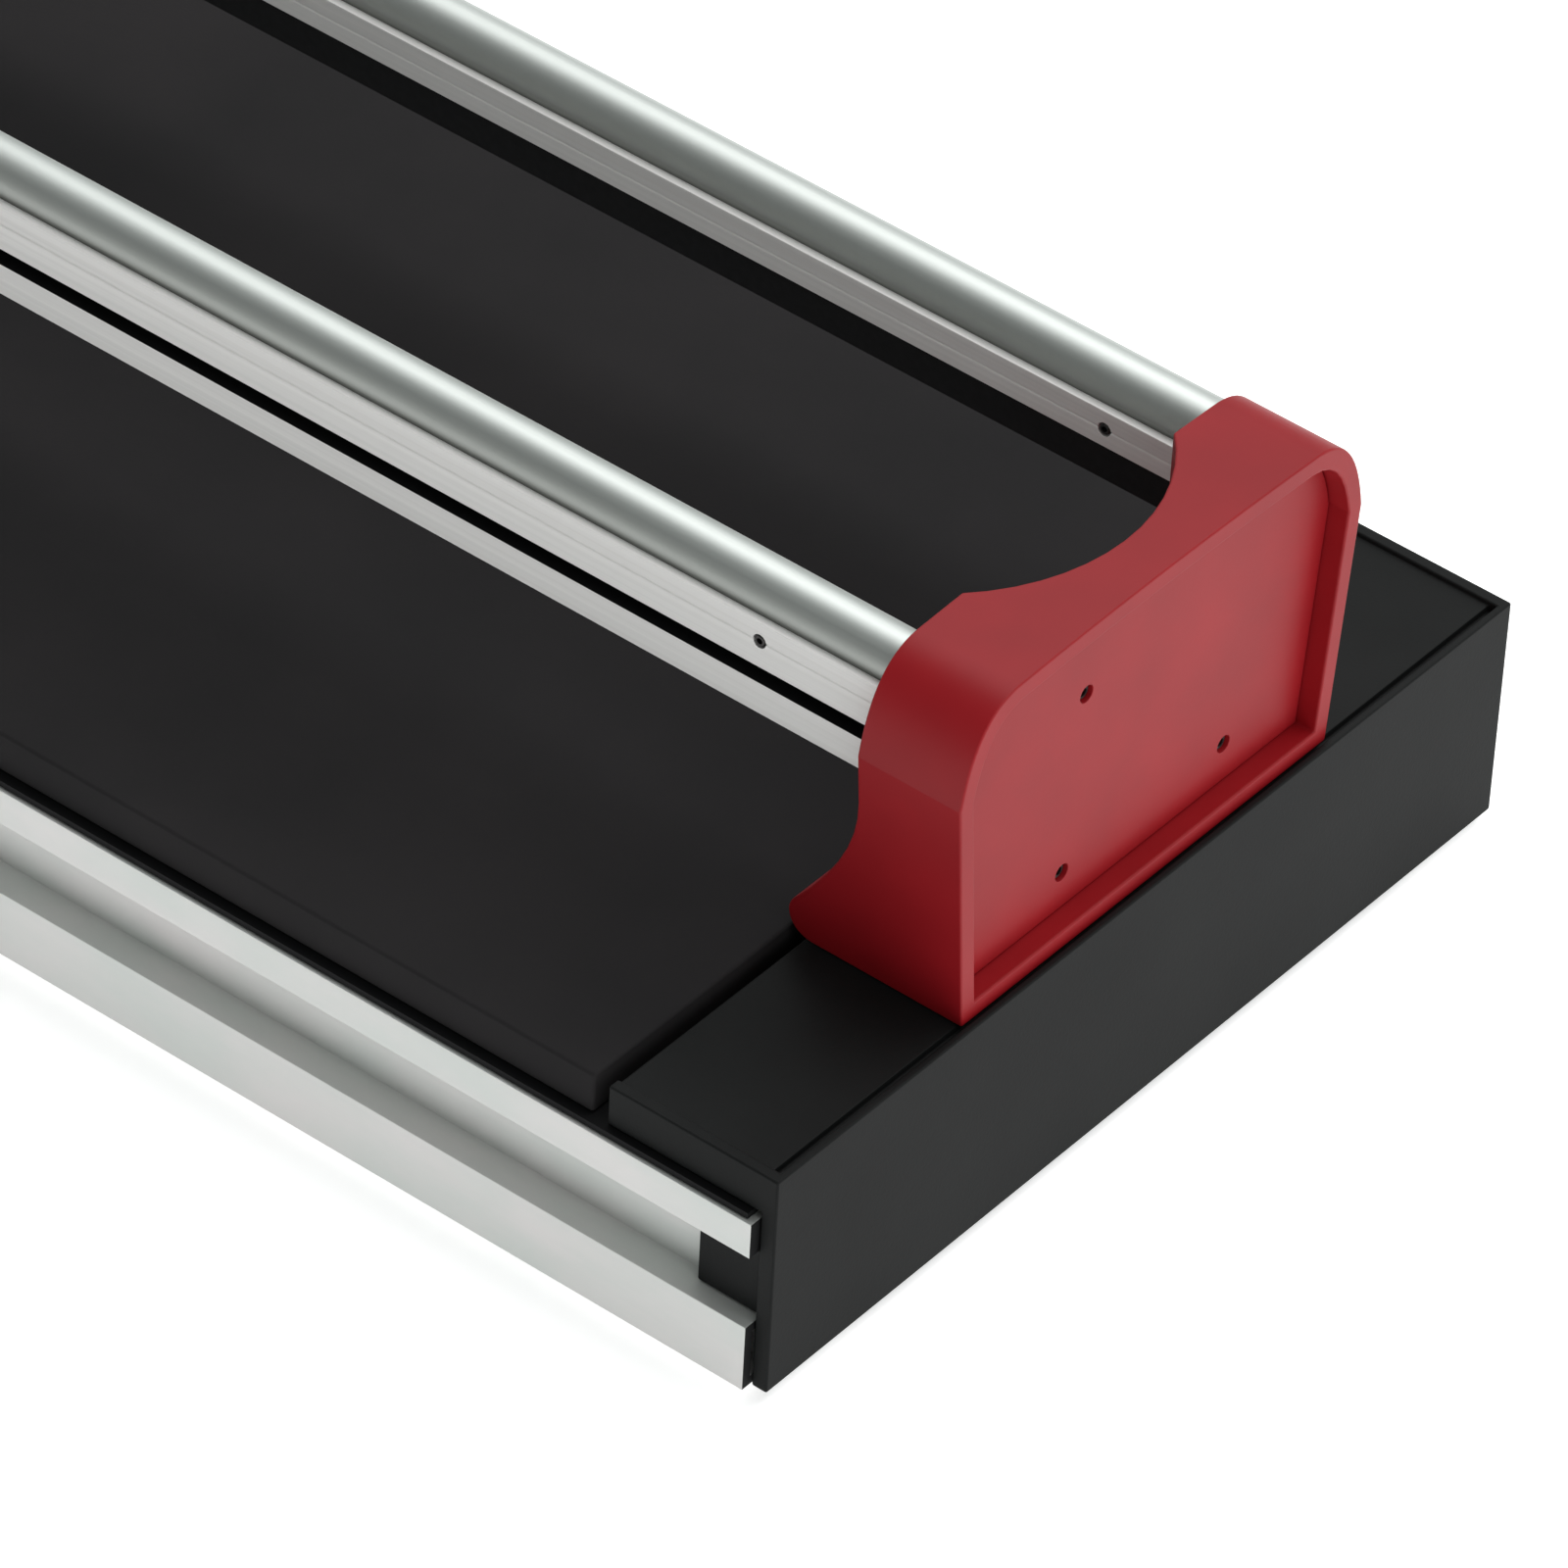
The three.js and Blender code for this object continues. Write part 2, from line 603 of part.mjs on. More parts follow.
function rollerAxle(side) {
  const outside = RAIL_Y + HEAD_HALF + CHEEK_GAP + CHEEK;
  const length = outside - (RAIL_Y - HEAD_HALF - CHEEK_GAP - CHEEK);
  const start = side < 0 ? -outside - GAP : outside + GAP - length - 1;
  const shank = rod("y", AXLE_RADIUS, length + 1, [0, start, 0], 12);
  const headAt = side < 0 ? -outside - GAP - 4 : outside + GAP;
  return shank.add(rod("y", 5, 4, [0, headAt, 0], 6));
}

function keeperPad(side) {
  const cheekFace = RAIL_Y - HEAD_HALF - CHEEK_GAP;
  const near = cheekFace + GAP;
  const far = RAIL_Y - 3.4;
  const top = RAIL_Z + HEAD_INNER_BOTTOM - RUNNING;
  const [a, b] = side < 0 ? [-far, -near] : [near, far];
  return box(-32, 32, a, b, top - 6, top);
}

// Lever in its own frame: the pivot is the origin, the arm rises towards +X.
function lever() {
  const half = LEVER_THICKNESS / 2;
  const angle = (LEVER_ANGLE * Math.PI) / 180;
  const along = (d) => [d * Math.cos(angle), d * Math.sin(angle)];
  const across = (d, w) => {
    const [x, z] = along(d);
    return [x - w * Math.sin(angle), z + w * Math.cos(angle)];
  };
  const [wx, wz] = WHEEL_AT;
  const [fx, fz] = FOOT_PIN_AT;
  const plate = polygon([
    [wx - 7, wz - 5],
    [wx + 5, wz - 7],
    [wx + 12, wz + 14],
    [3, -16],
    [fx - 10, fz + 14],
    [fx - 5, fz - 5],
    [fx + 5, fz - 5],
    [fx + 7, fz + 6],
    [14, -6],
    across(30, -10),
    across(62, -8),
    across(62, 8),
    across(20, 10),
    [-6, 12],
    [-13, 4],
    [-14, -10],
    [wx - 8, wz + 10],
  ]);
  let body = alongY(plate, -half, half);
  const tube = new THREE.CylinderGeometry(TUBE_RADIUS, TUBE_RADIUS, TUBE_LENGTH, 24);
  tube.translate(0, TUBE_LENGTH / 2 + 50, 0);
  tube.rotateZ(-(Math.PI / 2 - angle)).rotateX(Math.PI / 2);
  body = body.add(solid(tube));
  const cut = WHEEL_RADIUS + 1.5;
  const slit = WHEEL_THICKNESS / 2 + 0.3;
  body = body.subtract(rod("y", cut, 2 * slit, [wx, -slit, wz], 24));
  body = body.subtract(rod("y", 2.3, 30, [wx, -15, wz], 12));
  body = body.subtract(rod("y", 2.8, 30, [fx, -15, fz], 12));
  return body.subtract(rod("y", 4.3, 30, [0, -15, 0], 14));
}

function grip() {
  const bore = TUBE_RADIUS + GAP;
  const r = GRIP_RADIUS;
  const end = GRIP_LENGTH;
  return turned([
    [bore, 0],
    [r - 2, 0],
    [r, 3],
    [r - 2.5, end * 0.35],
    [r - 1, end * 0.65],
    [r, end - 10],
    [r - 3, end - 2],
    [r - 7, end],
    [0, end],
    [0, end - 6],
    [bore, end - 6],
    [bore, 0],
  ]);
}

function scoringWheel() {
  const half = WHEEL_THICKNESS / 2;
  const geometry = new THREE.LatheGeometry(
    [
      [2.3, -half],
      [WHEEL_RADIUS - 2.5, -half],
      [WHEEL_RADIUS, 0],
      [WHEEL_RADIUS - 2.5, half],
      [2.3, half],
      [2.3, -half],
    ].map(([r, y]) => new THREE.Vector2(r, y)),
    32,
  );
  return solid(geometry);
}

function pinWithHead(radius, length, headRadius) {
  const pin = rod("y", radius, length, [0, -length / 2, 0], 14);
  return pin.add(rod("y", headRadius, 3, [0, -length / 2 - 3 + 0.1, 0], 14));
}

// The pressing foot hangs from a pin: two ears, a bar and a pad at each end.
function breakerFoot() {
  const ear = LEVER_THICKNESS / 2 + 0.4;
  const bar = polygon([
    [-9, -9],
    [9, -9],
    [9, -14],
    [5, -16.5],
    [-5, -16.5],
    [-9, -14],
  ]);
  let body = alongY(bar, -PRESS_HALF, PRESS_HALF);
  const cheek = polygon([
    [-9, -10],
    [9, -10],
    [5.5, 4],
    [-5.5, 4],
  ]);
  body = body.add(alongY(cheek, ear, ear + 4));
  body = body.add(alongY(cheek, -ear - 4, -ear));
  for (const side of [-1, 1]) {
    const y = side * (PRESS_HALF - 7);
    body = body.add(box(-11, 11, y - 7, y + 7, -20, -14));
  }
  return body.subtract(rod("y", 2.8, 30, [0, -15, 0], 12));
}

function fenceBar() {
  const half = DEPTH / 2 - 6;
  const low = BASE_TOP + GAP;
  const [x0, x1] = [FENCE_X - FENCE_WIDTH / 2, FENCE_X + FENCE_WIDTH / 2];
  let body = box(x0, x1, -half, half, low, low + FENCE_HEIGHT);
  for (const y of [-FENCE_SCREW_Y, FENCE_SCREW_Y]) {
    body = body.subtract(rod("z", 2.8, FENCE_HEIGHT + 2, [FENCE_X, y, low - 1], 12));
    const seat = low + FENCE_HEIGHT - SCREW_HEAD - 1;
    body = body.subtract(rod("z", 5.1, SCREW_HEAD + 3, [FENCE_X, y, seat], 14));
  }
  return body;
}

// Screws that go through the fence and its pad into the deck.
function fenceScrew() {
  const seat = FENCE_HEIGHT - SCREW_HEAD - 1 + GAP;
  const head = rod("z", 4.7, SCREW_HEAD, [0, 0, seat], 14);
  return head.add(rod("z", 2.5, seat + 0.1, [0, 0, 0], 12));
}

function sideStop() {
  const top = BASE_TOP + GAP + FENCE_HEIGHT + GAP;
  const x0 = FENCE_X - FENCE_WIDTH / 2 - GAP;
  const x1 = FENCE_X + FENCE_WIDTH / 2 + GAP;
  const y0 = STOP_Y - STOP_WIDTH / 2;
  const y1 = STOP_Y + STOP_WIDTH / 2;
  const low = BASE_TOP + 2 * GAP;
  let body = box(x0 - STOP_WALL, x1 + STOP_WALL, y0, y1, top, top + STOP_WALL);
  body = body.add(box(x0 - STOP_WALL, x0, y0, y1, low + 4, top + 1));
  body = body.add(box(x1, x1 + STOP_WALL, y0, y1, low, top + 1));
  body = body.add(box(x1 + 1, x1 + STOP_REACH, y1 - 6, y1, low, low + 9));
  return body.subtract(rod("z", 2.8, 20, [FENCE_X, STOP_Y, top - 5], 12));
}

function stopKnob() {
  const top = FENCE_HEIGHT + 2 * GAP + STOP_WALL;
  const knob = new THREE.Shape();
  const lobes = 6;
  for (let i = 0; i < lobes * 4; i++) {
    const a = (i / (lobes * 4)) * 2 * Math.PI;
    const r = KNOB_RADIUS + 1.1 * Math.cos(lobes * a);
    if (i === 0) knob.moveTo(r * Math.cos(a), r * Math.sin(a));
    else knob.lineTo(r * Math.cos(a), r * Math.sin(a));
  }
  const g = new THREE.ExtrudeGeometry(knob, { depth: 9, bevelEnabled: false });
  const head = solid(g.translate(0, 0, top + 3));
  const neck = rod("z", 5, 4, [0, 0, top + 0.4], 14);
  const stem = rod("z", 2.5, top - FENCE_HEIGHT + 1 - 2 * GAP, [0, 0, FENCE_HEIGHT + GAP + 0.1], 12);
  return head.add(neck).add(stem);
}

// Base
add("front_extrusion", edgeExtrusion(), ALUMINIUM);
add("rear_extrusion", edgeExtrusion(), ALUMINIUM).rotation.z = Math.PI;
add("deck_plate", deckPlate(), DARK_STEEL);
add("front_pad", pad(-1), BLACK_FOAM);
add("rear_pad", pad(1), BLACK_FOAM);
add("breaking_rib", breakingRib(), ALUMINIUM);
for (const [name, x, y] of [
  ["front_left", -1, -1],
  ["front_right", 1, -1],
  ["rear_left", -1, 1],
  ["rear_right", 1, 1],
]) {
  const foot = add("foot_" + name, rubberFoot(), BLACK_RUBBER);
  foot.position.set(x * (END - FOOT_INSET), y * footY(), 0);
}

// Both ends: the left one is the right one mirrored
for (const [end, sign] of [["right", 1], ["left", -1]]) {
  const side = new THREE.Group();
  side.scale.x = sign;
  group.add(side);
  add(end + "_end_cap", endCap(), BLACK_PLASTIC, side);
  add(end + "_end_block", endBlock(), RED, side);
  add(end + "_end_panel", endPanel(), RED, side);
  PANEL_SCREWS.forEach((at, i) =>
    add(end + "_panel_screw_" + (i + 1), panelScrew(at), DARK_STEEL, side),
  );
  for (const [name, y, inset] of [
    ["front", -1, FRONT_GRUB_INSET],
    ["rear", 1, REAR_GRUB_INSET],
  ]) {
    add(end + "_" + name + "_rail_bolt", railBolt(y), STEEL, side);
    add(end + "_" + name + "_block_bolt", blockBolt(y), STEEL, side);
    const grub = add(end + "_" + name + "_rail_grub", grubScrew(), DARK_STEEL, side);
    grub.position.set(END - inset, y * RAIL_Y - HEAD_HALF + 0.1, RAIL_Z + SCORE_LINE);
  }
}

// Rails
add("front_rail", rail(-1, FRONT_GRUB_INSET), CHROME).position.set(0, -RAIL_Y, RAIL_Z);
const rearRail = add("rear_rail", rail(1, REAR_GRUB_INSET), CHROME);
rearRail.position.set(0, RAIL_Y, RAIL_Z);
rearRail.rotation.z = Math.PI;

// Carriage
const carriage = new THREE.Group();
carriage.position.x = CARRIAGE_X;
group.add(carriage);
add("carriage_body", carriageBody(), ALUMINIUM, carriage);
for (const [name, y] of [["front", -1], ["rear", 1]]) {
  for (const [place, x] of [["left", -1], ["right", 1]]) {
    const wheel = add(name + "_" + place + "_roller", roller(), STEEL, carriage);
    wheel.position.set((x * ROLLER_SPREAD) / 2, y * RAIL_Y, AXLE_Z);
    const axle = add(name + "_" + place + "_axle", rollerAxle(y), DARK_STEEL, carriage);
    axle.position.set((x * ROLLER_SPREAD) / 2, 0, AXLE_Z);
  }
  add(name + "_keeper_pad", keeperPad(y), BLACK_PLASTIC, carriage);
}

// Lever with the scoring wheel and the breaker foot
const arm = new THREE.Group();
arm.position.z = PIVOT_Z;
carriage.add(arm);
add("lever", lever(), CHROME, arm);
const handle = add("lever_grip", grip(), BLACK_RUBBER, arm);
const tilt = (LEVER_ANGLE * Math.PI) / 180;
const gripAt = TUBE_LENGTH + 50 + 6 + GAP - GRIP_LENGTH;
handle.position.set(gripAt * Math.cos(tilt), 0, gripAt * Math.sin(tilt));
handle.rotation.y = Math.PI / 2 - tilt;
add("lever_pivot_bolt", pinWithHead(4, 23, 7), DARK_STEEL, arm);
add("scoring_wheel", scoringWheel(), CARBIDE, arm).position.set(WHEEL_AT[0], 0, WHEEL_AT[1]);
const wheelAxle = add("wheel_axle", pinWithHead(2, LEVER_THICKNESS + 1, 4), STEEL, arm);
wheelAxle.position.set(WHEEL_AT[0], 0, WHEEL_AT[1]);
const press = add("breaker_foot", breakerFoot(), BLACK_PLASTIC, arm);
press.position.set(FOOT_PIN_AT[0], 0, FOOT_PIN_AT[1]);
const pressPin = add("breaker_pin", pinWithHead(2.5, 20, 4.5), STEEL, arm);
pressPin.position.set(FOOT_PIN_AT[0], 0, FOOT_PIN_AT[1]);

// Fence at the left end
add("fence_bar", fenceBar(), ALUMINIUM);
for (const [name, y] of [["front", -1], ["rear", 1]]) {
  const screw = add("fence_screw_" + name, fenceScrew(), DARK_STEEL);
  screw.position.set(FENCE_X, y * FENCE_SCREW_Y, BASE_TOP + GAP);
}
add("side_stop", sideStop(), BLACK_PLASTIC);
add("stop_knob", stopKnob(), RED).position.set(FENCE_X, STOP_Y, BASE_TOP + GAP);

export default group;
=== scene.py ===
import math

import bmesh
import bpy
from mathutils import Matrix, Vector


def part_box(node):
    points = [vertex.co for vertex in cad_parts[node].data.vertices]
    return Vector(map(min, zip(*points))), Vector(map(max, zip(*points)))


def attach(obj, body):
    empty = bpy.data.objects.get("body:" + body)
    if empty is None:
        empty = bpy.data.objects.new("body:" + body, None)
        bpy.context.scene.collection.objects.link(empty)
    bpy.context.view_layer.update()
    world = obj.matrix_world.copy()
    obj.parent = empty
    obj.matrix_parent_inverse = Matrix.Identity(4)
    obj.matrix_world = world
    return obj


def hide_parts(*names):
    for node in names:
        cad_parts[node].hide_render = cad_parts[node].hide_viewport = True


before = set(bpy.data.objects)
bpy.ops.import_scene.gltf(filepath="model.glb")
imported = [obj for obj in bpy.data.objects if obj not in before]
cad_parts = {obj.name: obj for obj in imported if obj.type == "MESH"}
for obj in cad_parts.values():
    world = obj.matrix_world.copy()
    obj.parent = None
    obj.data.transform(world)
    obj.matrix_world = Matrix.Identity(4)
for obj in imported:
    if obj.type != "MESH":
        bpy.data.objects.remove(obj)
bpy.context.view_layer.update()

MM = 0.001


# ---------------------------------------------------------------- the studio
# A white paper floor under a large soft ceiling light, with a smaller light at
# the right-hand end. One side of the room is dimmer, so that the polished rails
# have something grey to mirror. Places and sizes here are in metres.
scene = bpy.context.scene
scene.view_settings.view_transform = "Standard"
scene.view_settings.look = "None"


def to_linear(hex_colour):
    """A colour as Blender wants it, from its sRGB hex value."""
    parts = [int(hex_colour[i : i + 2], 16) / 255 for i in (1, 3, 5)]
    return tuple(
        [c / 12.92 if c <= 0.04045 else ((c + 0.055) / 1.055) ** 2.4 for c in parts]
        + [1.0]
    )


def add_node(tree, kind, inputs=(), **settings):
    """Adds a node; each input is a value, or the output that feeds it."""
    made = tree.nodes.new("ShaderNode" + kind)
    for setting, value in settings.items():
        setattr(made, setting, value)
    for socket, value in dict(inputs).items():
        if isinstance(value, bpy.types.NodeSocket):
            tree.links.new(value, made.inputs[socket])
        else:
            made.inputs[socket].default_value = value
    return made


def finish_named(name, **sockets):
    """A new material with constants on its shader; gives tree and shader."""
    made = bpy.data.materials.new(name)
    made.use_nodes = True
    shader = made.node_tree.nodes["Principled BSDF"]
    for socket, value in sockets.items():
        shader.inputs[socket.replace("_", " ")].default_value = value
    return made, made.node_tree, shader


DIM_SIDE = (-0.30, -0.80, 0.52)
room = bpy.data.worlds.new("studio_room")
room.use_nodes = True
scene.world = room
tree = room.node_tree
tree.nodes.clear()
direction = add_node(tree, "TexCoord").outputs["Generated"]
toward_dim_side = add_node(
    tree, "VectorMath", {0: direction, 1: DIM_SIDE}, operation="DOT_PRODUCT"
)
dimness = add_node(
    tree,
    "MapRange",
    {"Value": toward_dim_side.outputs["Value"], "From Min": 0.25, "From Max": 0.95},
    interpolation_type="SMOOTHSTEP",
)
walls = add_node(tree, "ValToRGB", {"Fac": dimness.outputs["Result"]})
walls.color_ramp.elements[0].color = to_linear("#e2e6e5")
walls.color_ramp.elements[1].color = to_linear("#7d807f")
background = add_node(
    tree, "Background", {"Color": walls.outputs["Color"], "Strength": 0.85}
)
add_node(tree, "OutputWorld", {"Surface": background.outputs["Background"]})


def soft_light(name, place, aim, size, watts):
    """A white rectangular light at one place, turned towards another."""
    lamp = bpy.data.lights.new(name, "AREA")
    lamp.shape = "RECTANGLE"
    lamp.size, lamp.size_y = size
    lamp.energy = watts
    stand = bpy.data.objects.new(name, lamp)
    scene.collection.objects.link(stand)
    turn = (Vector(aim) - Vector(place)).to_track_quat("-Z", "Y")
    stand.matrix_world = Matrix.Translation(place) @ turn.to_matrix().to_4x4()


soft_light("ceiling_light", (0.2, 0.9, 2.1), (0.15, 0.0, 0.0), (2.6, 1.8), 32)
soft_light("end_light", (2.3, -0.2, 1.1), (0.3, 0.0, 0.05), (1.6, 1.2), 7.5)

# Matt paper. It gives off a little light of its own, so that the floor stays
# white all over and its shadows stay faint.
paper_white, tree, shader = finish_named(
    "matt_white_paper",
    Roughness=0.9,
    Specular_IOR_Level=0.1,
    Emission_Color=to_linear("#ffffff"),
    Emission_Strength=0.55,
)
fibre = add_node(
    tree,
    "TexNoise",
    {"Vector": add_node(tree, "TexCoord").outputs["Object"], "Scale": 400.0},
)
tint = add_node(
    tree, "MapRange", {"Value": fibre.outputs["Fac"], "To Min": 0.90, "To Max": 0.94}
)
tree.links.new(tint.outputs["Result"], shader.inputs["Base Color"])

bm = bmesh.new()
bmesh.ops.create_grid(bm, x_segments=4, y_segments=4, size=6.0)
paper_mesh = bpy.data.meshes.new("paper_floor")
bm.to_mesh(paper_mesh)
bm.free()
paper_mesh.materials.append(paper_white)
paper_floor = bpy.data.objects.new("paper_floor", paper_mesh)
scene.collection.objects.link(paper_floor)

# The camera stands off the right-hand front corner, above the rails, with a
# long lens, and is turned a little on its axis.
AZIMUTH, ELEVATION, ROLL = (math.radians(d) for d in (36.998, 39.997, 3.242))
DISTANCE = 2.4643
AIM = Vector((0.32324, -0.02883, 0.0628))
LENS = 269.86
SENSOR = 36.0
back = Vector(
    (
        math.sin(AZIMUTH) * math.cos(ELEVATION),
        -math.cos(AZIMUTH) * math.cos(ELEVATION),
        math.sin(ELEVATION),
    )
)
level = Vector((math.cos(AZIMUTH), math.sin(AZIMUTH), 0.0))
above = back.cross(level)
right = level * math.cos(ROLL) + above * math.sin(ROLL)
up = above * math.cos(ROLL) - level * math.sin(ROLL)
camera_data = bpy.data.cameras.new("camera")
camera_data.lens = LENS
camera_data.sensor_width = SENSOR
camera_data.clip_end = 50.0
camera = bpy.data.objects.new("camera", camera_data)
scene.collection.objects.link(camera)
camera.matrix_world = Matrix.Translation(AIM + back * DISTANCE) @ Matrix(
    (right, up, back)
).transposed().to_4x4()
scene.camera = camera


# ------------------------------------------------------- aluminium base edges
# The long front and rear edges are cut from one slotted aluminium extrusion,
# natural anodised. The end caps push onto their sawn, square ends.
# Anodised aluminium: bright but milky, with the die's streaks along the
# extrusion and pale patches where the oxide took differently. The streaks are
# drawn about a millimetre wide, coarser than real ones, so that they show.
anodised, tree, shader = finish_named(
    "natural_anodised_aluminium", Metallic=0.45, Specular_IOR_Level=0.5
)
place = add_node(tree, "TexCoord").outputs["Object"]
die_lines = add_node(
    tree,
    "TexNoise",
    {
        "Vector": add_node(
            tree, "Mapping", {"Vector": place, "Scale": (4.0, 900.0, 900.0)}
        ).outputs["Vector"],
        "Scale": 1.0,
        "Detail": 3.0,
    },
)
patches = add_node(
    tree,
    "TexNoise",
    {
        "Vector": add_node(
            tree, "Mapping", {"Vector": place, "Scale": (28.0, 60.0, 60.0)}
        ).outputs["Vector"],
        "Scale": 1.0,
        "Detail": 4.0,
    },
)
oxide = add_node(tree, "ValToRGB", {"Fac": patches.outputs["Fac"]})
oxide.color_ramp.elements[0].position = 0.35
oxide.color_ramp.elements[0].color = to_linear("#d3d6d3")
oxide.color_ramp.elements[1].position = 0.68
oxide.color_ramp.elements[1].color = to_linear("#dddad9")
tree.links.new(oxide.outputs["Color"], shader.inputs["Base Color"])
matt = add_node(
    tree, "MapRange", {"Value": die_lines.outputs["Fac"], "To Min": 0.48, "To Max": 0.62}
)
tree.links.new(matt.outputs["Result"], shader.inputs["Roughness"])
relief = add_node(
    tree,
    "Bump",
    {"Height": die_lines.outputs["Fac"], "Strength": 0.08, "Distance": 0.1 * MM},
)
tree.links.new(relief.outputs["Normal"], shader.inputs["Normal"])


def set_down(bm, name, finish, body, smooth=30, stands_for=(), others=()):
    """Makes a piece of a finished bmesh and fixes it to a body."""
    mesh = bpy.data.meshes.new(name)
    bm.to_mesh(mesh)
    bm.free()
    mesh.shade_smooth()
    mesh.set_sharp_from_angle(angle=math.radians(smooth))
    for used in (finish, *others):
        mesh.materials.append(used)
    piece = bpy.data.objects.new(name, mesh)
    scene.collection.objects.link(piece)
    even_faces = piece.modifiers.new("even_faces", "WEIGHTED_NORMAL")
    even_faces.weight = 100
    even_faces.keep_sharp = True
    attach(piece, body)
    if stands_for:
        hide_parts(*stands_for)
    return piece


SAME_SPOT = 0.002 * MM
SAME_PLANE = math.radians(0.6)


def eased_solid(node, radius_mm, segments=2, corner=28):
    """The node's own solid with its edges sharper than a corner rounded off."""
    bm = bmesh.new()
    bm.from_mesh(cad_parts[node].data)
    bmesh.ops.remove_doubles(bm, verts=bm.verts, dist=SAME_SPOT)
    bmesh.ops.dissolve_limit(
        bm, angle_limit=SAME_PLANE, verts=bm.verts, edges=bm.edges
    )
    hard = [
        e
        for e in bm.edges
        if len(e.link_faces) == 2 and e.calc_face_angle(0.0) > math.radians(corner)
    ]
    bmesh.ops.bevel(
        bm,
        geom=hard,
        offset=radius_mm * MM,
        offset_type="OFFSET",
        affect="EDGES",
        segments=segments,
        profile=0.5,
        material=-1,
        clamp_overlap=False,
    )
    return bm


# Painted shade: the sawn ends are flat black with a faint mottle, a dark sheet
# standing in for the shadow in the gap between the ends and the caps.
painted_shade_black, tree, shader = finish_named(
    "black_painted_shade", Roughness=0.7, Specular_IOR_Level=0.15
)
shade_mottle = add_node(
    tree,
    "TexNoise",
    {"Vector": add_node(tree, "TexCoord").outputs["Object"], "Scale": 1000 / 2.0,
     "Detail": 3.0},
)
tone = add_node(tree, "ValToRGB", {"Fac": shade_mottle.outputs["Fac"]})
tone.color_ramp.elements[0].color = to_linear("#131314")
tone.color_ramp.elements[1].color = to_linear("#212122")
tree.links.new(tone.outputs["Color"], shader.inputs["Base Color"])

for side in ("front", "rear"):
    edge = side + "_extrusion"
    bm = eased_solid(edge, 0.2)
    # The sawn end faces take the black painted shade.
    for face in bm.faces:
        if abs(face.normal.x) > 0.5:
            face.material_index = 1
    set_down(bm, edge + "_dressed", anodised, "base", stands_for=(edge,),
             others=(painted_shade_black,))


# ------------------------------------------------------------------ the deck
# A flat steel sheet that lies on the aluminium edges and carries the foam. Only
# its dark edge shows from above, and the heads of the block bolts from below.

# Stove enamel: a dull skin, near black, with a slight orange peel.
enamel, tree, shader = finish_named(
    "dark_stove_enamel", Base_Color=to_linear("#171718"), Roughness=0.6,
    Specular_IOR_Level=0.1
)
peel = add_node(
    tree,
    "TexNoise",
    {"Vector": add_node(tree, "TexCoord").outputs["Object"], "Scale": 700.0},
)
relief = add_node(
    tree, "Bump", {"Height": peel.outputs["Fac"], "Strength": 0.1, "Distance": 0.1 * MM}
)
tree.links.new(relief.outputs["Normal"], shader.inputs["Normal"])
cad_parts["deck_plate"].data.materials.clear()
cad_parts["deck_plate"].data.materials.append(enamel)


# ------------------------------------------------------------------ foam pads
# Two pads of black closed-cell foam, cut from sheet, lie on the deck on either
# side of the cutting line. The tile lies on them.

# Foam: dull, with a pored skin and slightly uneven shade. The pores are drawn
# nearly a millimetre wide, coarser than real ones, so that they show.
foam, tree, shader = finish_named(
    "black_closed_cell_foam", Roughness=0.85, Specular_IOR_Level=0.12
)
place = add_node(tree, "TexCoord").outputs["Object"]
pores = add_node(
    tree, "TexNoise", {"Vector": place, "Scale": 1000 / 0.9, "Detail": 2.0}
)
shades = add_node(
    tree, "TexNoise", {"Vector": place, "Scale": 1000 / 60, "Detail": 3.0}
)
tone = add_node(tree, "ValToRGB", {"Fac": shades.outputs["Fac"]})
tone.color_ramp.elements[0].position = 0.3
tone.color_ramp.elements[0].color = to_linear("#242324")
tone.color_ramp.elements[1].position = 0.7
tone.color_ramp.elements[1].color = to_linear("#2a2829")
tree.links.new(tone.outputs["Color"], shader.inputs["Base Color"])
relief = add_node(
    tree,
    "Bump",
    {"Height": pores.outputs["Fac"], "Strength": 0.25, "Distance": 0.15 * MM},
)
tree.links.new(relief.outputs["Normal"], shader.inputs["Normal"])


def block_between(low, high, radius_mm, segments=3):
    """A box between two corners with rounded edges."""
    bm = bmesh.new()
    size = Vector(high) - Vector(low)
    middle = (Vector(high) + Vector(low)) / 2
    bmesh.ops.create_cube(
        bm,
        size=1.0,
        matrix=Matrix.Translation(middle) @ Matrix.Diagonal((*size, 1.0)),
    )
    bmesh.ops.bevel(
        bm,
        geom=bm.edges[:],
        offset=radius_mm * MM,
        offset_type="OFFSET",
        affect="EDGES",
        segments=segments,
        profile=0.5,
        material=-1,
    )
    return bm


for side in ("front", "rear"):
    pad = side + "_pad"
    set_down(block_between(*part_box(pad), 0.8), pad + "_foam", foam, "base",
             stands_for=(pad,))


# --------------------------------------------------------------- breaking rib
# An anodised aluminium rib that stands between the pads, under the cutting
# line. The scored tile snaps over it.
set_down(eased_solid("breaking_rib", 0.2), "breaking_rib_dressed", anodised, "base",
         stands_for=("breaking_rib",))


# ------------------------------------------------------------------ end caps
# Black ABS mouldings, pushed onto the ends of the base. Their tongues close the
# open slots of the aluminium edges.

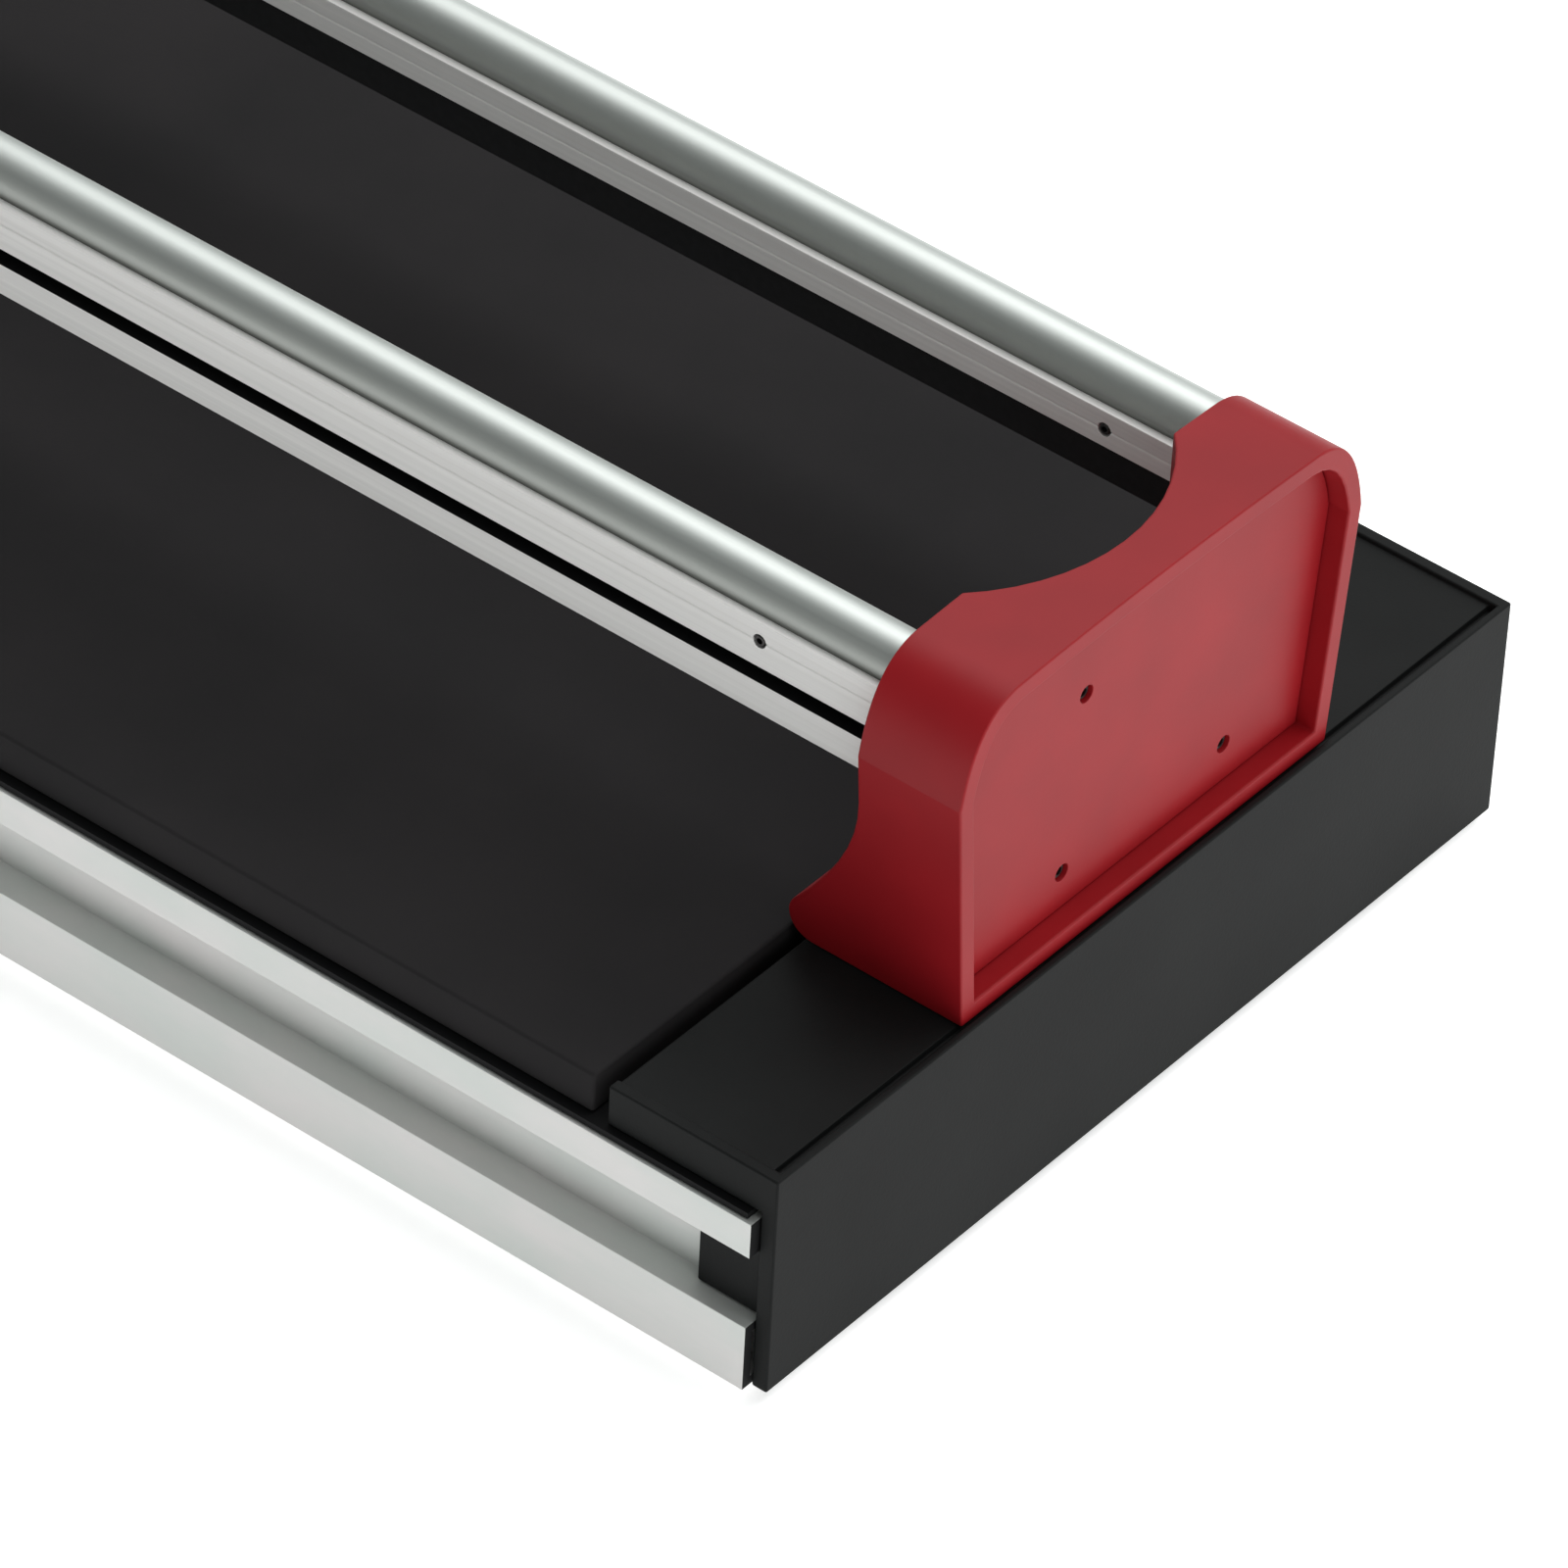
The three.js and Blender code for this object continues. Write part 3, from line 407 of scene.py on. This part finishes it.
# ABS with a spark-eroded mould texture: a soft, even sheen with a fine grain,
# which is drawn coarser than the real one, so that it shows.
abs_black, tree, shader = finish_named(
    "black_moulded_abs", Roughness=0.55, Specular_IOR_Level=0.09
)
place = add_node(tree, "TexCoord").outputs["Object"]
grain = add_node(
    tree, "TexNoise", {"Vector": place, "Scale": 1000 / 0.7, "Detail": 3.0}
)
handling = add_node(
    tree, "TexNoise", {"Vector": place, "Scale": 1000 / 45, "Detail": 4.0}
)
tone = add_node(tree, "ValToRGB", {"Fac": handling.outputs["Fac"]})
tone.color_ramp.elements[0].position = 0.3
tone.color_ramp.elements[0].color = to_linear("#171818")
tone.color_ramp.elements[1].position = 0.75
tone.color_ramp.elements[1].color = to_linear("#1e1f1f")
tree.links.new(tone.outputs["Color"], shader.inputs["Base Color"])
relief = add_node(
    tree,
    "Bump",
    {"Height": grain.outputs["Fac"], "Strength": 0.3, "Distance": 0.12 * MM},
)
tree.links.new(relief.outputs["Normal"], shader.inputs["Normal"])
for end in ("left", "right"):
    cap = end + "_end_cap"
    set_down(eased_solid(cap, 0.5), cap + "_dressed", abs_black, "base",
             stands_for=(cap,))


# --------------------------------------------------------------- rubber feet
# Four moulded rubber buttons with a stem pulled through the bottom ledge. The
# sole has a rounded rim and a shallow sink mark in the middle.

# Natural rubber: dull black with a faint grey bloom.
rubber, tree, shader = finish_named(
    "black_natural_rubber", Roughness=0.8, Specular_IOR_Level=0.25
)
place = add_node(tree, "TexCoord").outputs["Object"]
bloom = add_node(
    tree, "TexNoise", {"Vector": place, "Scale": 1000 / 2.5, "Detail": 4.0}
)
tone = add_node(tree, "ValToRGB", {"Fac": bloom.outputs["Fac"]})
tone.color_ramp.elements[0].color = to_linear("#161617")
tone.color_ramp.elements[1].color = to_linear("#252526")
tree.links.new(tone.outputs["Color"], shader.inputs["Base Color"])
relief = add_node(
    tree,
    "Bump",
    {"Height": bloom.outputs["Fac"], "Strength": 0.2, "Distance": 0.1 * MM},
)
tree.links.new(relief.outputs["Normal"], shader.inputs["Normal"])


def turned_piece(profile_mm, centre, axis="z", steps=40):
    """A profile of (radius, height) spun round an axis through a centre."""
    bm = bmesh.new()
    verts = [bm.verts.new((r * MM, 0.0, h * MM)) for r, h in profile_mm]
    edges = [bm.edges.new(pair) for pair in zip(verts, verts[1:])]
    bmesh.ops.spin(
        bm,
        geom=verts + edges,
        cent=(0, 0, 0),
        axis=(0, 0, 1),
        angle=2 * math.pi,
        steps=steps,
        use_merge=True,
    )
    bmesh.ops.remove_doubles(bm, verts=bm.verts, dist=SAME_SPOT)
    if axis == "y":
        turn = Matrix.Rotation(-math.pi / 2, 4, "X")
        bmesh.ops.transform(bm, matrix=turn, verts=bm.verts)
    bmesh.ops.translate(bm, vec=centre, verts=bm.verts)
    bmesh.ops.recalc_face_normals(bm, faces=bm.faces)
    return bm


sole = [(0, 0.5), (5.5, 0.4), (6.5, 0), (9.8, 0), (10.6, 0.3), (11, 1.0),
        (11, 2.2), (10.7, 2.5)]
stem = [(3.5, 2.5), (3.5, 7.4), (3.0, 8.4), (0, 8.8)]
for end in ("left", "right"):
    for side in ("front", "rear"):
        foot = "foot_" + side + "_" + end
        low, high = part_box(foot)
        centre = ((low.x + high.x) / 2, (low.y + high.y) / 2, low.z)
        set_down(turned_piece(sole + stem, centre), foot + "_turned", rubber, "base",
                 stands_for=(foot,))


# ---------------------------------------------------------------- end blocks
# Red mouldings that hold the rails up, with softened edges. Each is closed at
# its end by a sunk cover that three screws hold.

# Nylon, dyed through: satin, with faint clouds from its flow in the mould.
red, tree, shader = finish_named(
    "red_moulded_nylon", Roughness=0.46, Specular_IOR_Level=0.24
)
place = add_node(tree, "TexCoord").outputs["Object"]
flow = add_node(
    tree, "TexNoise", {"Vector": place, "Scale": 1000 / 26, "Detail": 3.0}
)
skin = add_node(
    tree, "TexNoise", {"Vector": place, "Scale": 1000 / 1.2, "Detail": 2.0}
)
tone = add_node(tree, "ValToRGB", {"Fac": flow.outputs["Fac"]})
tone.color_ramp.elements[0].position = 0.3
tone.color_ramp.elements[0].color = to_linear("#8f1119")
tone.color_ramp.elements[1].position = 0.7
tone.color_ramp.elements[1].color = to_linear("#9a151d")
tree.links.new(tone.outputs["Color"], shader.inputs["Base Color"])
relief = add_node(
    tree,
    "Bump",
    {"Height": skin.outputs["Fac"], "Strength": 0.12, "Distance": 0.1 * MM},
)
tree.links.new(relief.outputs["Normal"], shader.inputs["Normal"])

# Black-oxide steel: brown-black, with a dull sheen.
black_oxide, tree, shader = finish_named(
    "black_oxide_steel", Metallic=1.0, Roughness=0.42
)
cloud = add_node(
    tree,
    "TexNoise",
    {"Vector": add_node(tree, "TexCoord").outputs["Object"], "Scale": 1000 / 3},
)
tone = add_node(tree, "ValToRGB", {"Fac": cloud.outputs["Fac"]})
tone.color_ramp.elements[0].color = to_linear("#3b3a3a")
tone.color_ramp.elements[1].color = to_linear("#555352")
tree.links.new(tone.outputs["Color"], shader.inputs["Base Color"])

SOCKET_DRAFT_MM = 0.02


def with_socket(bm, facing, rim_mm, depth_mm):
    """Sinks a driver socket into the head whose flat end faces one way."""
    facing = Vector(facing)
    ends = [f for f in bm.faces if f.normal.dot(facing) > 0.99]
    head = max(ends, key=lambda f: f.calc_center_median().dot(facing))
    for thickness, depth in ((rim_mm, 0.0), (SOCKET_DRAFT_MM, -depth_mm)):
        bmesh.ops.inset_region(
            bm, faces=[head], thickness=thickness * MM, depth=depth * MM
        )
    return bm


for end, outward in (("left", -1), ("right", 1)):
    block, panel = end + "_end_block", end + "_end_panel"
    set_down(eased_solid(block, 0.5, segments=3, corner=32), block + "_dressed", red,
             "base", smooth=13, stands_for=(block,))
    set_down(eased_solid(panel, 0.3), panel + "_dressed", red, "base",
             stands_for=(panel,))
    for number in (1, 2, 3):
        screw = end + "_panel_screw_" + str(number)
        bm = with_socket(eased_solid(screw, 0.2), (outward, 0, 0), rim_mm=0.5,
                         depth_mm=0.7)
        set_down(bm, screw + "_dressed", black_oxide, "base", stands_for=(screw,))


# -------------------------------------------------------- rail and block bolts
# Steel bolts. One holds each end of each rail, from behind the covers, and two
# hold each end block, from under the deck.

# Zinc plate: bright bluish-white steel, slightly cloudy.
zinc, tree, shader = finish_named("bright_zinc_plate", Metallic=1.0)
cloud = add_node(
    tree,
    "TexNoise",
    {"Vector": add_node(tree, "TexCoord").outputs["Object"], "Scale": 1000 / 4},
)
tone = add_node(tree, "ValToRGB", {"Fac": cloud.outputs["Fac"]})
tone.color_ramp.elements[0].color = to_linear("#a4a8ab")
tone.color_ramp.elements[1].color = to_linear("#c3c6c7")
tree.links.new(tone.outputs["Color"], shader.inputs["Base Color"])
matt = add_node(
    tree, "MapRange", {"Value": cloud.outputs["Fac"], "To Min": 0.22, "To Max": 0.4}
)
tree.links.new(matt.outputs["Result"], shader.inputs["Roughness"])
for end in ("left", "right"):
    for side in ("front", "rear"):
        for bolt in ("_rail_bolt", "_block_bolt"):
            name = end + "_" + side + bolt
            set_down(eased_solid(name, 0.3), name + "_dressed", zinc, "base",
                     stands_for=(name,))


# --------------------------------------------------------------------- rails
# Two guide rails, extruded with a round head for the rollers above a flat
# slotted body. The head's colour is painted lighter at the crown and darker
# down its flanks: painted shade for the light falling from above.
BULB = 7 * MM
BULB_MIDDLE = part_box("front_rail")[1].z - BULB
# Where one finish gives way to the next: heights from the middle of the round
# head, and distances outwards from the middle of the rail, both in mm.
BRIGHT_FROM = -0.9
HEAD_REACH = 6.99
GROOVE_FLOOR, GROOVE_TOP = -16.8, -12.2
GROOVE_OUT = 8.9
WEB_TOP = -10.4
WEB_OUT = -2.0
UNDERSIDE_BELOW = -20


def drawn_lines(tree, across_mm=0.9):
    """Noise stretched along the extrusion, as a die leaves it."""
    place = add_node(tree, "TexCoord").outputs["Object"]
    stretched = add_node(
        tree,
        "Mapping",
        {"Vector": place, "Scale": (3.0, 1000 / across_mm, 1000 / across_mm)},
    )
    return add_node(
        tree,
        "TexNoise",
        {"Vector": stretched.outputs["Vector"], "Scale": 1.0, "Detail": 4.0},
    )


# Painted shade: the round head's colour runs from dark at its foot to bright at its
# crown, standing in for light falling from above.
crown, tree, shader = finish_named("rail_head_aluminium_painted_shade", Metallic=1.0)
up_the_rail = add_node(
    tree, "SeparateXYZ", {"Vector": add_node(tree, "TexCoord").outputs["Object"]}
)
head_painted_shade = add_node(
    tree,
    "MapRange",
    {"Value": up_the_rail.outputs["Z"], "From Min": BULB_MIDDLE - 1 * MM,
     "From Max": BULB_MIDDLE + BULB},
)
tone = add_node(tree, "ValToRGB", {"Fac": head_painted_shade.outputs["Result"]})
tone.color_ramp.elements[0].color = to_linear("#6c6e6a")
tone.color_ramp.elements[1].color = to_linear("#cdd1ce")
half_way = tone.color_ramp.elements.new(0.55)
half_way.color = to_linear("#b9bcb8")
tree.links.new(tone.outputs["Color"], shader.inputs["Base Color"])
streaks = drawn_lines(tree)
matt = add_node(
    tree, "MapRange", {"Value": streaks.outputs["Fac"], "To Min": 0.42, "To Max": 0.54}
)
tree.links.new(matt.outputs["Result"], shader.inputs["Roughness"])
relief = add_node(
    tree,
    "Bump",
    {"Height": streaks.outputs["Fac"], "Strength": 0.06, "Distance": 0.1 * MM},
)
tree.links.new(relief.outputs["Normal"], shader.inputs["Normal"])

# Satin anodising: the flat sides are pale and milky, with the same drawn lines.
# The groove, inner web and underside are black painted shade, as the base's ends are.
flank, tree, shader = finish_named(
    "satin_anodised_rail_side", Metallic=0.25, Specular_IOR_Level=0.5
)
streaks = drawn_lines(tree, 1.4)
tone = add_node(tree, "ValToRGB", {"Fac": streaks.outputs["Fac"]})
tone.color_ramp.elements[0].position = 0.25
tone.color_ramp.elements[0].color = to_linear("#dedcda")
tone.color_ramp.elements[1].position = 0.75
tone.color_ramp.elements[1].color = to_linear("#f0eeec")
tree.links.new(tone.outputs["Color"], shader.inputs["Base Color"])
matt = add_node(
    tree, "MapRange", {"Value": streaks.outputs["Fac"], "To Min": 0.4, "To Max": 0.55}
)
tree.links.new(matt.outputs["Result"], shader.inputs["Roughness"])

for side, outward in (("front", -1), ("rear", 1)):
    rail = side + "_rail"
    low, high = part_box(rail)
    middle = (low.y + high.y) / 2
    bm = eased_solid(rail, 0.2, corner=40)
    for face in bm.faces:
        spot = face.calc_center_median()
        rise = (spot.z - BULB_MIDDLE) / MM
        out = (spot.y - middle) * outward / MM
        on_head = rise > BRIGHT_FROM and abs(out) < HEAD_REACH
        in_groove = GROOVE_FLOOR < rise < GROOVE_TOP and out < GROOVE_OUT
        behind = rise < WEB_TOP and out < WEB_OUT
        beneath = rise < UNDERSIDE_BELOW and abs(face.normal.z) > 0.5
        # The head takes the painted-shade gradient; the groove, the web and the underside
        # take the black painted shade.
        if on_head and abs(face.normal.x) < 0.5:
            face.material_index = 0
        elif in_groove or behind or beneath:
            face.material_index = 2
        else:
            face.material_index = 1
    set_down(bm, rail + "_dressed", crown, "base", stands_for=(rail,),
             others=(flank, painted_shade_black))
    for end in ("left", "right"):
        grub = end + "_" + side + "_rail_grub"
        bm = with_socket(eased_solid(grub, 0.2), (0, -1, 0), rim_mm=0.45, depth_mm=1.2)
        set_down(bm, grub + "_dressed", black_oxide, "base", stands_for=(grub,))


# ------------------------------------------------------------------ carriage
# A milled aluminium bridge over both rails. It rides on four grooved rollers,
# and nylon pads under the rail heads keep it from lifting.
set_down(eased_solid("carriage_body", 0.4), "carriage_body_dressed", anodised,
         "carriage", stands_for=("carriage_body",))

# Glass-filled nylon: black, with a slight gloss and faint flecks from the
# fibres, which are drawn coarser than real ones, so that they show.
nylon, tree, shader = finish_named(
    "black_glass_filled_nylon", Roughness=0.42, Specular_IOR_Level=0.4
)
fibres = add_node(
    tree,
    "TexNoise",
    {"Vector": add_node(tree, "TexCoord").outputs["Object"], "Scale": 1000 / 1.1,
     "Detail": 4.0},
)
tone = add_node(tree, "ValToRGB", {"Fac": fibres.outputs["Fac"]})
tone.color_ramp.elements[0].color = to_linear("#1d1e1f")
tone.color_ramp.elements[1].color = to_linear("#2d2e30")
tree.links.new(tone.outputs["Color"], shader.inputs["Base Color"])
relief = add_node(
    tree,
    "Bump",
    {"Height": fibres.outputs["Fac"], "Strength": 0.2, "Distance": 0.1 * MM},
)
tree.links.new(relief.outputs["Normal"], shader.inputs["Normal"])

# A roller's end faces, from its bore outwards, and its groove, whose arc is a
# little flatter than the round head of the rail.
roller_side = [(3.3, -7), (4.6, -7), (5.0, -6.4), (8.8, -6.4), (9.2, -7), (11.5, -7),
               (12, -6.5), (11.9, -6.0)]
GROOVE_ROOT = 9
HEAD_RADIUS = 7
FLATTER = 0.88
roller_groove = [
    (GROOVE_ROOT + FLATTER * (HEAD_RADIUS - math.sqrt(HEAD_RADIUS**2 - y * y)), y)
    for y in (-5.5, -4.6, -3.6, -2.4, -1.2, 0, 1.2, 2.4, 3.6, 4.6, 5.5)
]
other_side = [(r, -h) for r, h in reversed(roller_side)]
roller_outline = roller_side + roller_groove + other_side + [roller_side[0]]

for side in ("front", "rear"):
    keeper = side + "_keeper_pad"
    set_down(block_between(*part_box(keeper), 0.8), keeper + "_dressed", nylon,
             "carriage", stands_for=(keeper,))
    for end in ("left", "right"):
        roller = side + "_" + end + "_roller"
        low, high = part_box(roller)
        bm = turned_piece(roller_outline, (low + high) / 2, "y", steps=48)
        set_down(bm, side + "_" + end + "_race", zinc, roller, stands_for=(roller,))
        axle = side + "_" + end + "_axle"
        set_down(eased_solid(axle, 0.35), axle + "_dressed", black_oxide, "carriage",
                 stands_for=(axle,))


# --------------------------------------------------------------------- lever
# A steel plate that carries the cutting wheel and the breaker foot, welded to
# a chromed tube with a rubber grip. It swings on a shouldered bolt.

# Chrome plate: mirror-bright, with a slight haze from handling.
chrome, tree, shader = finish_named("bright_chrome_plate", Metallic=1.0)
haze = add_node(
    tree,
    "TexNoise",
    {"Vector": add_node(tree, "TexCoord").outputs["Object"], "Scale": 1000 / 9,
     "Detail": 4.0},
)
tone = add_node(tree, "ValToRGB", {"Fac": haze.outputs["Fac"]})
tone.color_ramp.elements[0].color = to_linear("#cfd3d4")
tone.color_ramp.elements[1].color = to_linear("#e3e6e6")
tree.links.new(tone.outputs["Color"], shader.inputs["Base Color"])
matt = add_node(
    tree, "MapRange", {"Value": haze.outputs["Fac"], "To Min": 0.08, "To Max": 0.2}
)
tree.links.new(matt.outputs["Result"], shader.inputs["Roughness"])
set_down(eased_solid("lever", 0.4, corner=32), "lever_dressed", chrome, "handle",
         stands_for=("lever",))
low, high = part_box("lever_pivot_bolt")
pivot = Vector(((low.x + high.x) / 2, 0.0, (low.z + high.z) / 2))
bm = with_socket(eased_solid("lever_pivot_bolt", 0.5), (0, -1, 0), rim_mm=3.6,
                 depth_mm=2.0)
set_down(bm, "lever_pivot_bolt_dressed", black_oxide, "carriage",
         stands_for=("lever_pivot_bolt",))
for pin in ("wheel_axle", "breaker_pin"):
    bm = with_socket(eased_solid(pin, 0.3), (0, -1, 0), rim_mm=2.0, depth_mm=1.2)
    set_down(bm, pin + "_dressed", zinc, "handle", stands_for=(pin,))

# The grip is moulded with rings that keep a wet hand from slipping. Its waist
# is a list of distances from the open end, each with the grip's radius there.
waist = ((0, 13.0), (3, 15.0), (38.5, 12.5), (71.5, 14.0), (100, 15.0))
RINGS = 18
FIRST_RING = 8.0
RING_PITCH = 4.9
RING_SINK = 0.05
RING_DEPTH = 1.3
RING_EASE = 0.4


def grip_radius(along):
    """Outer radius of the grip, a distance from its open end."""
    for (start, thick), (stop, thin) in zip(waist, waist[1:]):
        if along <= stop:
            return thick + (thin - thick) * (along - start) / (stop - start)
    return waist[-1][1]


grip_outline = [(9.8, 0.0), (12.4, 0.0), (13.6, 1.0), (14.6, 3.0), (14.6, 7.0)]
for number in range(RINGS):
    start = FIRST_RING + RING_PITCH * number
    crest = grip_radius(start + 2.2) - RING_SINK
    valley = grip_radius(start + 4.4) - RING_DEPTH
    grip_outline += [
        (crest - RING_EASE, start),
        (crest, start + 0.6),
        (crest, start + 2.9),
        (crest - RING_EASE, start + 3.4),
        (valley, start + 3.8),
        (valley, start + 4.5),
    ]
grip_outline += [
    (14.4, 97.0), (14.9, 98.5), (14.9, 100.5), (14.0, 103.5), (12.0, 107.5), (9.5, 109.3),
    (7.5, 109.9), (0.0, 109.9), (0.0, 104.0), (9.8, 104.0), (9.8, 0.0),
]
TILT = math.radians(32)
GRIP_START = 181.3 * MM
bm = turned_piece(grip_outline, (0, 0, 0), steps=56)
lean = Matrix.Rotation(math.pi / 2 - TILT, 4, "Y")
reach = Vector((math.cos(TILT), 0.0, math.sin(TILT))) * GRIP_START
bmesh.ops.transform(bm, matrix=Matrix.Translation(pivot + reach) @ lean, verts=bm.verts)
set_down(bm, "lever_grip_ringed", rubber, "handle", stands_for=("lever_grip",))


# ---------------------------------------------- cutting wheel and breaker foot
# The wheel scores the tile and spins on a small axle in the lever's plate. The
# moulded nylon foot next to it presses the tile down over the rib to snap it.

# Sintered carbide: grey metal, ground to a bright edge. Its grain is drawn
# coarser than the real one, so that it shows.
carbide, tree, shader = finish_named("ground_carbide", Metallic=1.0, Roughness=0.25)
grit = add_node(
    tree,
    "TexNoise",
    {"Vector": add_node(tree, "TexCoord").outputs["Object"], "Scale": 1000 / 0.6},
)
tone = add_node(tree, "ValToRGB", {"Fac": grit.outputs["Fac"]})
tone.color_ramp.elements[0].color = to_linear("#7c7f82")
tone.color_ramp.elements[1].color = to_linear("#989b9d")
tree.links.new(tone.outputs["Color"], shader.inputs["Base Color"])
low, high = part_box("scoring_wheel")
wheel_side = [(2.3, -1.2), (4.4, -1.2), (4.8, -0.9), (7.6, -0.9), (8.0, -1.2),
              (8.5, -1.2)]
sharp_edge = (11, 0)
other_side = [(r, -h) for r, h in reversed(wheel_side)]
wheel_outline = wheel_side + [sharp_edge] + other_side + [wheel_side[0]]
bm = turned_piece(wheel_outline, (low + high) / 2, "y", steps=64)
set_down(bm, "scoring_wheel_ground", carbide, "cutting_wheel",
         stands_for=("scoring_wheel",))
set_down(eased_solid("breaker_foot", 0.7, segments=3), "breaker_foot_dressed", nylon,
         "press_foot", stands_for=("breaker_foot",))


# --------------------------------------------------------- fence, stop, knob
# The tile rests against an aluminium fence screwed to the deck. A nylon stop
# slides along it and is clamped by a lobed red knob.
set_down(eased_solid("fence_bar", 0.5), "fence_bar_dressed", anodised, "base",
         stands_for=("fence_bar",))
for side in ("front", "rear"):
    screw = "fence_screw_" + side
    bm = with_socket(eased_solid(screw, 0.3), (0, 0, 1), rim_mm=2.2, depth_mm=1.8)
    set_down(bm, screw + "_dressed", black_oxide, "base", stands_for=(screw,))

# Centimetre and half-centimetre lines are printed along the fence, counted both
# ways from the cutting line, with a gap round each screw.
# Printing ink: flat black, slightly blotted.
ink, tree, shader = finish_named(
    "black_printing_ink", Roughness=0.6, Specular_IOR_Level=0.2
)
blots = add_node(
    tree,
    "TexNoise",
    {"Vector": add_node(tree, "TexCoord").outputs["Object"], "Scale": 1000 / 0.5},
)
tone = add_node(tree, "ValToRGB", {"Fac": blots.outputs["Fac"]})
tone.color_ramp.elements[0].color = to_linear("#101011")
tone.color_ramp.elements[1].color = to_linear("#242425")
tree.links.new(tone.outputs["Color"], shader.inputs["Base Color"])
LINES_EACH_WAY = 23
LINE_STEP = 5 * MM
LINE_WIDTH = 0.35 * MM
LINE_HEIGHT = 0.06 * MM
LINE_LIFT = 0.01 * MM
LINE_MARGIN = 0.8 * MM
FENCE_SCREW_Y = 30 * MM
SCREW_CLEARANCE = 6 * MM
fence_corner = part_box("fence_bar")[1]
bm = bmesh.new()
for step in range(-LINES_EACH_WAY, LINES_EACH_WAY + 1):
    y = step * LINE_STEP
    if abs(abs(y) - FENCE_SCREW_Y) < SCREW_CLEARANCE:
        continue
    length = (7.0 if step % 10 == 0 else 5.0 if step % 2 == 0 else 3.0) * MM
    middle = Vector(
        (fence_corner.x - LINE_MARGIN - length / 2, y, fence_corner.z + LINE_LIFT)
    )
    bmesh.ops.create_cube(
        bm,
        size=1.0,
        matrix=Matrix.Translation(middle)
        @ Matrix.Diagonal((length, LINE_WIDTH, LINE_HEIGHT, 1.0)),
    )
set_down(bm, "fence_scale_lines", ink, "base")
set_down(eased_solid("side_stop", 0.8, segments=3), "side_stop_dressed", nylon, "stop",
         stands_for=("side_stop",))
set_down(eased_solid("stop_knob", 0.6, segments=3), "stop_knob_dressed", red, "knob",
         stands_for=("stop_knob",))
